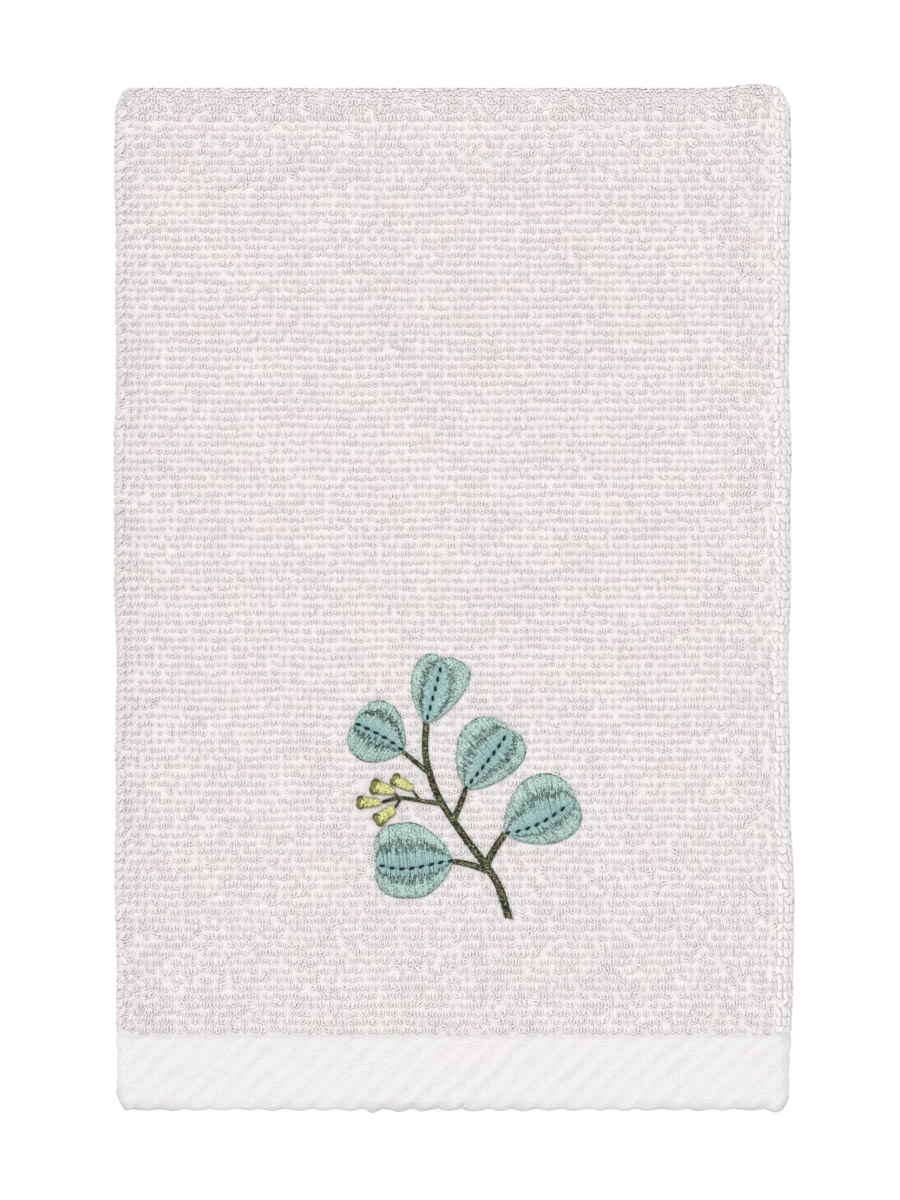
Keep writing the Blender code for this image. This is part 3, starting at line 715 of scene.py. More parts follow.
def cotton_material(name, base, shade, tint=0.10, grain=0.10, weave=None, bump=0.1):
    """Matt cotton with its mottle and its painted shade, read from the piece's shading values; weave is
    (warp, weft, floats) of the flat cloth, or None for the pile.
    """
    material, tree, shader = new_material(name)
    place = add(tree, "ShaderNodeTexCoord").outputs["Object"]
    cotton = add(tree, "ShaderNodeGroup", node_tree=mottle_group())
    for key, value in {"Colour": rgba(base), "Shade": rgba(shade), "Tint": tint, "Grain": grain,
                       "Patch Scale": 90.0, "Grain Scale": 2400.0}.items():
        cotton.inputs[key].default_value = value
    tree.links.new(place, cotton.inputs["Place"])
    shading = value_of(tree, "shading")
    tree.links.new(cotton.outputs["Colour"], shader.inputs["Base Color"])
    height = cotton.outputs["Grain"]
    if weave:
        woven = add(tree, "ShaderNodeGroup", node_tree=weave_group())
        for key, value in zip(("Warp", "Weft", "Floats"), weave):
            woven.inputs[key].default_value = value
        for key in ("Across", "Along"):
            tree.links.new(value_of(tree, key.lower()), woven.inputs[key])
        height = maths(tree, "ADD", maths(tree, "MULTIPLY", height, 0.5), woven.outputs["Height"])
        shading = maths(tree, "ADD", shading, woven.outputs["Tone"], clamp=True)
    tree.links.new(shading, cotton.inputs["Shading"])
    relief = add(tree, "ShaderNodeBump", {"Height": height, "Strength": bump, "Distance": COTTON_RELIEF})
    tree.links.new(relief.outputs["Normal"], shader.inputs["Normal"])
    shader.inputs["Roughness"].default_value = 0.95
    shader.inputs["Specular IOR Level"].default_value = 0.2
    shader.inputs["Sheen Weight"].default_value = 0.12
    shader.inputs["Sheen Roughness"].default_value = 0.6
    return material


def thread_material(name, dark, light, other, specks, roughness=0.42):
    """Lustrous stitching thread; specks says how strongly its filaments glint."""
    material, tree, shader = new_material(name)
    thread = add(tree, "ShaderNodeGroup", node_tree=thread_group())
    thread.inputs["Specks"].default_value = specks
    tree.links.new(add(tree, "ShaderNodeTexCoord").outputs["Object"], thread.inputs["Place"])
    for key, value in (("Dark", dark), ("Light", light), ("Other", other)):
        thread.inputs[key].default_value = rgba(value)
    for key, attribute in (("Shade", "shade"), ("Mix", "mix"), ("Run", "run")):
        tree.links.new(value_of(tree, attribute), thread.inputs[key])
    tree.links.new(thread.outputs["Colour"], shader.inputs["Base Color"])
    relief = add(tree, "ShaderNodeBump", {"Height": thread.outputs["Height"], "Strength": 0.25,
                                          "Distance": THREAD_RELIEF})
    tree.links.new(relief.outputs["Normal"], shader.inputs["Normal"])
    shader.inputs["Roughness"].default_value = roughness
    shader.inputs["Specular IOR Level"].default_value = 0.25
    shader.inputs["Sheen Weight"].default_value = 0.03
    return material


# ---- ground cloth and headings -----------------------------------------------------------------------------

CLOTH_STEP, FOLD_STEPS = 5.0, 12
RIM = 0.7                       # how far from its edges the ground cloth thins to a rounded rim
HEM_STEP = 0.6                  # how far the inner edge of a side hem takes to step down to the ground
SKIN = 0.4                      # thickness of the skin that carries a heading's relief


def stations(marks_at, step, fold_steps):
    """Distances along a path: straights in even steps near the wanted one, folds in a fixed number."""
    places = [np.array((0.0,))]
    for number, (start, end) in enumerate(zip(marks_at, marks_at[1:])):
        steps = fold_steps if number % 2 else max(1, round((end - start) / step))
        places.append(np.linspace(start, end, steps + 1)[1:])
    return np.concatenate(places)


class TOWEL_OT_ground(bpy.types.Operator):
    """Weave the thin ground cloth along the folds, with its side hems"""
    bl_idname = "towel.ground"
    bl_label = "Ground cloth"

    def execute(self, context):
        """A ring of the cloth's section, face side out and back along the reverse, swept along the length.
        Its thickness is the ground's in the terry, the heading's in the headings, and the turned hem's
        along the side edges, thinning to a rounded rim."""
        cloth = settings(context, "cloth")
        across = np.union1d(stations(U_MARKS, CLOTH_STEP, FOLD_STEPS),
                            (RIM, SIDE_HEM, SIDE_HEM + HEM_STEP, CUT_WIDTH - SIDE_HEM - HEM_STEP,
                             CUT_WIDTH - SIDE_HEM, CUT_WIDTH - RIM))
        along = np.union1d(stations(V_MARKS, CLOTH_STEP, FOLD_STEPS),
                           (RIM, HEADING_DEPTH - PILE_STEP, HEADING_DEPTH, CUT_LENGTH - HEADING_DEPTH,
                            CUT_LENGTH - HEADING_DEPTH + PILE_STEP, CUT_LENGTH - RIM))
        ring_across = np.concatenate((across, across[::-1]))
        side = np.repeat((1.0, -1.0), len(across))
        v, u = np.meshgrid(along, ring_across, indexing="ij")
        ground, hem, heading = mm(cloth.ground), mm(cloth.side_hem), HEADING - 0.1
        from_side = np.minimum(u, CUT_WIDTH - u)
        terry = ground + (hem - ground) * smooth(SIDE_HEM + HEM_STEP, SIDE_HEM, from_side)
        thick = heading + (terry - heading) * pile_share(v)
        from_edge = np.minimum(from_side, np.minimum(v, CUT_LENGTH - v))
        round_off = 0.55 + 0.45 * np.clip(from_edge / RIM, 0, 1)
        rise = side * thick * round_off / 2 + np.where(side > 0, fold_stand(u, v) * pile_share(v), 0)
        # In the terry the ground cloth is drawn towards the shade colour: painted shade between the loops.
        patch = ring_sweep(on_cloth(u, v, rise), shading=0.55 * pile_share(v), across=u, along=v)
        material = cotton_material("Ground weave", settings(context, "pile").cotton,
                                   settings(context, "pile").shade, weave=(0.8, 0.6, 0.0), bump=0.6)
        piece = make_piece("towel_ground", patch, material, ("towel",))
        return {"FINISHED"}


def heading_patch(cloth, at_front, across):
    """The relief of a flat heading, as a thin skin that wraps the end hem.

    Its section starts just under the pile, runs to the end, goes half round the hem and a little way back
    on the reverse. Ribs stand up along the section's normal: raised cosines of the distance across less a
    share of the distance along, so that they slant, stronger round the hem, where they scallop its edge.
    On the side folds all of it stands further out. Its tone is painted darker, as shade, between the ribs
    and round the hem, with darker marks in the hem.
    """
    radius, under = HEADING / 2, 5.0
    straight = np.arange(HEADING_DEPTH + 0.9, radius, -0.5)
    turn = np.linspace(np.pi / 2, 1.5 * np.pi, 9)
    back = np.linspace(radius, under, 8)[1:]
    depth = np.concatenate((straight, radius + radius * np.cos(turn), back))
    rise = radius * np.concatenate((np.ones(len(straight)), np.sin(turn), -np.ones(len(back))))
    out_v = np.concatenate((np.zeros(len(straight)), np.cos(turn), np.zeros(len(back))))
    out_h = np.concatenate((np.ones(len(straight)), np.sin(turn), -np.ones(len(back))))
    u, v = np.meshgrid(across, depth, indexing="ij")
    pitch, height = mm(cloth.rib_pitch), mm(cloth.rib_height)
    stray = 0.5 * drift(u, v, 26, 3) + 0.25 * drift(u, v, 7, 4)
    phase = 2 * np.pi * (u - cloth.rib_slant * v + stray) / pitch
    hem = smooth(3.0, 0.0, v) * (0.6 + 0.4 * drift(u, 0 * v, 14, 9))
    strength = height * (1 + 0.35 * drift(u, v, 18, 5)) * (1 + cloth.scallop * hem)
    strength *= smooth(HEADING_DEPTH + 0.3, HEADING_DEPTH - 2.5, v)
    relief = (strength * (0.5 + 0.5 * np.cos(phase)) ** 0.8 + 0.05 * drift(u, v, 3.2, 6)
              + 0.10 * hem * drift(u, v, 2.1, 7) + 1.3 * fold_stand(u, CUT_LENGTH + 0 * v))
    outer = np.stack((u, v + relief * out_v, rise + relief * out_h))
    inner = np.stack((u, v - SKIN * out_v, rise - SKIN * out_h + 0 * v))
    ring = np.concatenate((outer, inner[:, :, ::-1]), axis=2)
    along = ring[1] if at_front else CUT_LENGTH - ring[1]
    # Painted shade: darker between the ribs and round the hem, with darker marks in the hem.
    tone = (0.04 + 0.22 * (0.5 - 0.5 * np.cos(phase)) * (0.6 + hem) + 0.75 * hem
            + 0.45 * np.clip(hem * drift(u, v, 3, 41), 0, 1))
    shading = np.concatenate((tone, 0 * relief), axis=1)
    return ring_sweep(on_cloth(ring[0], along, ring[2]), shading=shading, across=ring[0], along=ring[1])


class TOWEL_OT_headings(bpy.types.Operator):
    """Weave the flat headings with their slanting ribs and scalloped end hems"""
    bl_idname = "towel.headings"
    bl_label = "Headings"

    def execute(self, context):
        cloth = settings(context, "cloth")
        material = cotton_material("Heading weave", cloth.white, cloth.white_shade, tint=0.03,
                                   grain=0.03, weave=(0.9, 0.40, 0.5), bump=0.6)
        front = np.linspace(U_MARKS[1] - 6, U_MARKS[4] + 8, 300)
        back = np.linspace(U_MARKS[1] - 6, CUT_WIDTH - 0.2, 380)
        make_piece("heading_front", heading_patch(cloth, True, front), material)
        make_piece("heading_back", heading_patch(cloth, False, np.concatenate((
            back[back < U_MARKS[2] + 6], np.linspace(U_MARKS[2] + 7, U_MARKS[3] - 7, 16),
            back[back > U_MARKS[3] - 6]))), material)
        return {"FINISHED"}


# ---- pile --------------------------------------------------------------------------------------------------
# Rings of a plain loop from root to tip: how far out it is and how high, as shares of its reach and of the
# pile's height, its half width and half thickness, as shares of the full half width and of the pile's height,
# and how far down the groove between its two legs goes, as a share of the thickness. The legs meet at the
# tip.

LoopRing = namedtuple("LoopRing", "out high wide thick groove")
TONGUE = (
    LoopRing(0.0, -0.10, 0, 0, 0),
    LoopRing(0.45, 0.54, 1.0, 0.32, 1.5),
    LoopRing(0.84, 0.68, 0.84, 0.30, 0.1),
    LoopRing(1.0, 0.40, 0, 0, 0),
)
# Sections of a plain loop, as shares of its half width and half thickness, and where the groove is felt.
TWO_LEGS = ((0.48, 1.0, 0), (0.0, 1.0, 1), (-0.48, 1.0, 0), (-1.0, -0.5, 0), (1.0, -0.5, 0))
ONE_LEG = ((0.2, 0.95, 0), (-1.0, -0.4, 0), (1.0, -0.4, 0))

# Bends of a fine loop's yarn from root to tip, one leg: how far aside of the loop's middle, as a share of the
# half distance between the legs, how far out, how high, and which way its outer side faces, aside and out.
Bend = namedtuple("Bend", "aside out high faces_aside faces_out")
ARCH = (
    Bend(0.60, 0.05, -0.10, 1.0, 0.0),
    Bend(0.98, 0.40, 0.40, 1.0, -0.1),
    Bend(1.02, 0.76, 0.74, 0.85, 0.6),
    Bend(0.00, 0.90, 0.72, 0.0, 1.0),
)
YARN = ((0.90, -0.5), (0.0, 1.0), (-0.90, -0.5))    # its section, as shares of its radius, outward and up

Loop = namedtuple("Loop", "aside out up hollow rings sides")


def tongue(pile, rings, section):
    """A plain loop: rings of a section from its root to its tip, which are poles."""
    table = np.array(rings)
    across_share, up_share, grooved = np.array(section).T
    aside = (table[1:-1, 2:3] * across_share).ravel()
    up = (table[1:-1, 1:2] + table[1:-1, 3:4] * (up_share - table[1:-1, 4:5] * grooved)).ravel()
    # The groove is painted darker through this value, as shade.
    hollow = (np.clip(table[1:-1, 4:5], 0, 1) * grooved).ravel()
    return Loop(np.concatenate(((0.0,), aside, (0.0,))) * mm(pile.width) / 2,
                np.concatenate((table[:1, 0], np.repeat(table[1:-1, 0], len(section)), table[-1:, 0]))
                * mm(pile.reach),
                np.concatenate((table[:1, 1], up, table[-1:, 1])) * mm(pile.height),
                np.concatenate(((0.0,), hollow, (0.0,))), len(rings) - 2, len(section))


def arch(pile):
    """A fine loop: a yarn that goes out along one leg, round the tip and back along the other. Its ends are
    poles at the root."""
    table = np.array(ARCH)
    back = table[-2::-1] * (-1, 1, 1, -1, 1)
    aside, out, high, faces_aside, faces_out = np.concatenate((table, back)).T[:, :, None]
    outward, up_share = np.array(YARN).T
    radius, legs = mm(pile.yarn), mm(pile.legs)
    scale = np.hypot(faces_aside, faces_out)
    a = aside * legs + radius * outward * faces_aside / scale
    b = out * mm(pile.reach) + radius * outward * faces_out / scale
    up = high * mm(pile.height) + radius * up_share + 0 * a
    # The inner side of the yarn is painted a little darker, as shade.
    hollow = 0.08 * np.maximum(-outward, 0) + 0 * a

    def closed(values, first, last):
        return np.concatenate((first, values[1:-1].ravel(), last))

    return Loop(closed(a, aside[0] * legs, aside[-1] * legs), closed(b, out[0], out[-1]),
                closed(up, high[0] * mm(pile.height), high[-1] * mm(pile.height)),
                closed(hollow, (0.0,), (0.0,)), len(a) - 2, len(YARN))


Rows = namedtuple("Rows", "along scale")
OFF_FOLD = 9.0                  # a distance beyond the left fold at which it isn't felt
OUTER_LOOPS = 3.7               # how far out of the strip's middle the loops on a fold of it stand
LEFT_ROUND, RIGHT_ROUND = 6.5, 4.5      # how far beyond a side fold the loops go on in the flap
INWARD = 4.5                    # and how far before it those of the lower layers start


def rows_between(pile, run, start=0.0, stop=0.0, out=0.0):
    """Rows of loops along one run of the length. In a fold they are as far apart on the outside of the strip,
    out from its middle, as elsewhere, so in the flat cut they lie closer; scale says how much."""
    from_v, to_v = V_MARKS[run] + start, V_MARKS[run + 1] - stop
    surface = to_v - from_v
    if LENGTH_RUNS[run].turn:
        surface *= (STRIP_RADIUS + out) / STRIP_RADIUS
    count = max(1, round(surface / mm(pile.along)))
    step = (to_v - from_v) / count
    return Rows(from_v + step * (np.arange(count) + 0.5), np.full(count, step / mm(pile.along)))


# The pile is crisp in the middle of the face. Over a soft step it gets softer and looser, down to the least,
# towards the front heading, the top fold and the right fold.
CRISP_LEAST, CRISP_FROM, CRISP_EDGE = 0.45, 115.0, 25.0
LOOSER = 1.2                    # how much further the loops stray where the pile isn't crisp
LOOP_CROWN = 0.75               # the height that a softer loop is drawn to, as a share of the pile's
PRESSED = 0.45                  # how far the stitches of the sprig press the loops down
PROUD = 0.12                    # how far a loop may stand out of the cloth's thickness

# How far one loop strays from the next. The slant is in radians, and has a share of its cube too.
Stray = namedtuple("Stray", "slant slant_cubed size thin high roll across bend along")
STRAY = Stray(0.10, 0.025, 0.06, 0.07, 0.05, 0.06, 0.06, 0.22, 0.08)

# By the left fold the loops are dragged aside, and by the right fold they are drawn out and narrow.
LEFT_REACH, LEFT_SLANT, LEFT_SLANT_DRIFT = 4.5, 0.75, 0.25
RIGHT_FROM, RIGHT_FULL = 6.0, 1.0
Drawn = namedtuple("Drawn", "size thin")
BY_LEFT, BY_RIGHT = Drawn(0.22, -0.06), Drawn(0.15, -0.22)

# How dark a loop is at its root, how much more so there by the left fold, and how dark in its hollow, by
# chance, by the left fold, where it isn't crisp, and on the top fold. The darkening at the root, in the
# hollow and by the folds is painted shade, and that by chance is random tone.
LoopShade = namedtuple("LoopShade", "root left_root hollow chance left soft fold")
SHADE = LoopShade(0.26, 0.5, 0.60, 0.05, 0.45, 0.06, 0.3)


def crispness(p, v):
    """How crisp the pile is at each place: 1 in the middle of the face, and least beyond its edges."""
    whole = (smooth(HEADING_DEPTH, CRISP_FROM, v) * smooth(FRONT, FRONT - CRISP_EDGE, v)
             * smooth(P_MARKS[3], P_MARKS[3] - CRISP_EDGE, p))
    return CRISP_LEAST + (1 - CRISP_LEAST) * whole


def loop_patch(pile, columns, rows, loop, rng):
    """A terry loop at every crossing of the columns and rows.

    A loop leans towards the front hem. Its points are offsets aside, out and up, turned by the loop's own
    slant, added to its place on the tips of the pile, and brought back to the flat cut. Each loop strays a
    little in eight ways, and slant, height and place also drift from patch to patch. Under the sprig the
    loops are pressed down, and on the folds they stand further out. Their colour is painted darker, as
    shade, towards their roots, in their hollows, by the left fold and on the top fold, and a little darker by
    chance and where the pile isn't crisp.
    """
    uneven = pile.unevenness
    p, v = np.meshgrid(columns, rows.along, indexing="ij")
    scale = np.broadcast_to(rows.scale, p.shape)
    p, v, scale = p.ravel(), v.ravel(), scale.ravel()
    count = len(p)

    crisp = crispness(p, v)
    slant, size, thin, high, roll, across, bend, along = rng.normal(0, 1, (8, count)) * uneven
    slant, across, along = (stray * (1 + LOOSER - LOOSER * crisp) for stray in (slant, across, along))
    left = np.exp(-((np.maximum(p - P_MARKS[2], 0) / LEFT_REACH) ** 2)) * (p > P_MARKS[1])
    right = smooth(P_MARKS[3] - RIGHT_FROM, P_MARKS[3] - RIGHT_FULL, p) * (p < P_MARKS[4])
    slant = (STRAY.slant * slant + STRAY.slant_cubed * slant ** 3
             + uneven * drifts(p, v, (0.10, 30, 21), (0.08, 9, 22))
             + left * (LEFT_SLANT + LEFT_SLANT_DRIFT * drift(p, v, 9, 23)))
    size = 1 + STRAY.size * size + BY_LEFT.size * left + BY_RIGHT.size * right
    thin = 1 + STRAY.thin * thin + BY_LEFT.thin * left + BY_RIGHT.thin * right
    high = 1 + STRAY.high * high + 0.03 * uneven * drift(p, v, 15, 24)
    p = p + STRAY.across * mm(pile.across) * across + 0.10 * uneven * drift(p, v, 17, 25)
    v = v + scale * uneven * (drifts(p, v, (0.18, 26, 26), (0.12, 8, 27)) + STRAY.along * along)
    pressed = under_sprig(p + U_MARKS[2] - P_MARKS[2], v) if sprig_near(p, v) else np.zeros(count)

    def each(values):
        """One value for each loop, as a column beside the points of a loop."""
        return values[:, None]

    depth, reach = mm(pile.height), mm(pile.reach)
    b = (loop.out - reach / 2) * each(size)
    a = loop.aside * each(thin) + STRAY.bend * each(bend) * (loop.out / reach) ** 2
    cos, sin = each(np.cos(slant)), each(np.sin(slant))
    u = np.interp(each(p) + a * cos - b * sin, P_MARKS, U_MARKS)
    w = each(v) - each(scale) * (a * sin + b * cos)
    crown = LOOP_CROWN * depth
    up = crown + (loop.up - crown) * (0.40 + 0.50 * each(crisp))
    rise = TERRY / 2 - depth + up * each(high) + STRAY.roll * a * each(roll) - PRESSED * each(pressed)
    points = on_cloth(u, w, np.minimum(rise, TERRY / 2 + PROUD) + fold_stand(u, w))

    # Painted shade: darker towards the root, in the hollows, by the left fold and on the top fold; also
    # darker by chance and where the pile isn't crisp.
    to_root = (1 - np.clip(1.5 * loop.out / reach, 0, 1)) ** 1.5
    chance = np.clip(0.5 + 0.5 * each(across), 0, 1)
    shading = ((SHADE.root + SHADE.left_root * each(left)) * to_root + SHADE.hollow * loop.hollow
               + SHADE.chance * chance) * each(crisp)
    shading = (shading + SHADE.left * each(left) + SHADE.soft * (1 - each(crisp))
               + SHADE.fold * each(fold_stand(U_MARKS[2] + OFF_FOLD, v)))
    return Patch(points, tube_faces(count, loop.rings, loop.sides), shading=np.broadcast_to(shading, u.shape))


class TOWEL_OT_pile(bpy.types.Operator):
    """Set a terry loop at every crossing of the ground weave that shows"""
    bl_idname = "towel.pile"
    bl_label = "Pile"

    def execute(self, context):
        """Columns are even on the tips of the pile right round the folds. The face and the top fold get fine
        loops, and the side folds, the bottom fold and the underside get plain ones. Inside the stack there
        are none."""
        pile = settings(context, "pile")
        material = cotton_material("Terry pile", pile.cotton, pile.shade, tint=0.025, grain=0.05, bump=0.5)
        rng = np.random.default_rng(pile.seed)
        columns = np.arange(P_MARKS[2] % mm(pile.across), P_MARKS[-1] - SIDE_HEM - 0.3, mm(pile.across))

        def between(low, high):
            return columns[(columns >= low) & (columns < high)]

        left_from, left_to = P_MARKS[1] - LEFT_ROUND, P_MARKS[2]
        right_from, right_to = P_MARKS[3], P_MARKS[4] + RIGHT_ROUND
        panel, flap = between(left_to, right_from), between(right_to, math.inf)
        left, right = between(left_from, left_to), between(right_from, right_to)
        left_wide, right_wide = between(left_from, left_to + INWARD), between(right_from - INWARD, right_to)
        front = rows_between(pile, 0, start=HEADING_DEPTH - 0.1)
        top, bottom = (rows_between(pile, run, out=OUTER_LOOPS) for run in (1, 3))
        middle, back = rows_between(pile, 2), rows_between(pile, 4, stop=HEADING_DEPTH)
        half = len(front.along) // 2
        lower, upper = Rows(*(value[:half] for value in front)), Rows(*(value[half:] for value in front))

        fine, plain, rough = arch(pile), tongue(pile, TONGUE, TWO_LEGS), tongue(pile, TONGUE, ONE_LEG)
        for name, parts, loop in (
            ("pile_face_lower", ((panel, lower),), fine),
            ("pile_face_upper", ((panel, upper),), fine),
            ("pile_top_fold", ((panel, top),), fine),
            ("pile_bottom_fold", ((flap, bottom),), plain),
            ("pile_left", ((left, front), (left, top), (left_wide, middle), (left_wide, bottom),
                           (left_wide, back)), plain),
            ("pile_right", ((right, front), (right, top), (right_wide, middle), (right_wide, bottom),
                            (right_wide, back)), plain),
            ("pile_underside", ((flap, back),), rough),
        ):
            patch = joined([loop_patch(pile, cols, rows, loop, rng) for cols, rows in parts])
            make_piece(name, patch, material)
        return {"FINISHED"}


# ---- sprig -------------------------------------------------------------------------------------------------

def half_outline(length, half, notch, blunt, steps=60):
    """One half of a leaf from base to tip, along and across its midrib, and how far round it each point is.

    From the base to the widest place and from there to the tip it is a quarter of a superellipse, the second
    with its own power, blunt. The tip is then drawn back by the notch, a bell across the midrib.
    """
    quarter = np.linspace(0, np.pi / 2, steps)
    rising, falling = np.sin(quarter), np.cos(quarter).clip(0)
    total = length + notch
    along = total * np.concatenate((half.full * (1 - falling ** (2 / BASE_POINTED)),
                                    half.full + (1 - half.full) * rising[1:] ** (2 / blunt)))
    across = half.width * np.concatenate((rising ** (2 / BASE_POINTED), falling[1:] ** (2 / blunt)))
    along = along - notch * np.exp(-((across / NOTCH_WIDTH) ** 2)) * (along > total / 2)
    return along, across, distances(along, across)


def sprig_near(p, v):
    """Whether any of these loops lie on the front run, where the sprig is."""
    return v.min() < FRONT and p.max() > P_MARKS[2] and p.min() < P_MARKS[3]


def under_sprig(u, v):
    """How far each place of the cut is pressed down by the stitches on it: 1 below a leaf, a branch or a bud,
    and 0 from a little way off."""
    x = u - U_MARKS[2] + TERRY / 2 + LEFT_RADIUS - FACE_WIDTH / 2
    y = np.where(v < FRONT, v - FACE_LENGTH / 2, 1e3)
    pressed = np.zeros(len(x))
    for leaf in LEAVES:
        plan = LeafPlan(leaf)
        along, across = plan.from_face(x, y)
        for side in (1, -1):
            edge_along, edge_across, _ = half_outline(plan.length, plan.half(side), 0.0, leaf.blunt)
            room = np.interp(along, edge_along, edge_across, left=-1.0, right=-1.0) - side * across
            pressed = np.maximum(pressed, smooth(-0.3, 0.3, room) * (side * across > -0.3))
    for line, width in ([(branch.points, branch.root_width) for branch in STEM]
                        + [(((bud.neck_x, bud.neck_y), (bud.cap_x, bud.cap_y)), bud.cap_width)
                           for bud in BUDS]):
        for (ax, ay), (bx, by) in zip(line, line[1:]):
            reach = math.hypot(bx - ax, by - ay)
            t = np.clip(((x - ax) * (bx - ax) + (y - ay) * (by - ay)) / reach ** 2, 0, 1)
            off = np.hypot(x - ax - t * (bx - ax), y - ay - t * (by - ay))
            pressed = np.maximum(pressed, smooth(0.25, -0.2, off - width / 2))
    return pressed


# Where along a stitch its rings lie: an inner one has a blunt end at the vein, an outer one at the edge.
INNER_STATIONS = (0, 0.03, 0.16, 0.34, 0.52, 0.70, 0.86, 1)
OUTER_STATIONS = (0, 0.12, 0.26, 0.42, 0.60, 0.80, 0.97, 1)
VEIN_LIFT, EDGE_SUNK = 0.34, 0.04       # of a leaf's surface at its vein and at its edge
PADDING_UNDER, IN_PILE = 0.12, -0.9     # the padding's top below the leaf's surface, and its bottom
EDGE_ENDS = (0.008, 0.992)              # edge shares of the first and the last stitch
STITCH_STRAY = 0.1                      # how far a stitch strays, as a share of the even spacing
BAND_WIDTH = 0.15                       # of the dark where the stitches meet, as a share of the way out

# How far past the line where the bands meet a stitch goes, at the ends of the leaf and more in its middle.
Overlap = namedtuple("Overlap", "least bulge")
INNER_OVERLAP, OUTER_OVERLAP = Overlap(0.04, 0.10), Overlap(0.06, 0.08)
OVERLAP_UNEVEN, EDGE_UNEVEN = 0.09, 0.012

# A satin stitch: how far above the leaf's surface, how far its ends dip, and its half height. It is pressed
# wider than its thread, more so near the edge, and thinner where the bands meet.
STITCH_LIFT, STITCH_DIP, STITCH_HIGH, LIFT_STRAY = 0.06, 0.24, 0.15, 0.03
SPREAD, EDGE_SPREAD, BAND_THIN = 1.45, 0.45, 0.25
# How light it is, how much darker it is painted where the bands meet and at the edge, as shade, how far its
# lightness strays at random, and how far it takes on the bluer colour by the vein, and over what share of the
# way out.
LIGHT, BAND_DARK, EDGE_DARK, LIGHT_STRAY = 0.74, 0.16, 0.10, 0.10
BY_VEIN, BY_VEIN_REACH = 0.85, 0.30

# The dark strands that paint the shade in the gaps: their spacing as a share of the stitches', how far they
# stray from the line and how long they are as shares of the way out, their half width and half height, and
# how light they get.
GAP_SPACING, GAP_STRAY, GAP_REACH, GAP_REACH_STRAY = 0.80, 0.15, 0.095, 0.03
GAP_WIDE, GAP_WIDE_STRAY, GAP_HIGH, GAP_LIGHT = 0.165, 0.3, 0.11, 0.12

RUN_STITCH, RUN_SLANT = 1.45, 0.45      # length of a vein's run stitch, and how far it goes aside
STEM_SEED, BUD_SEED = 50, 80            # how far their random strays start from the sprig's


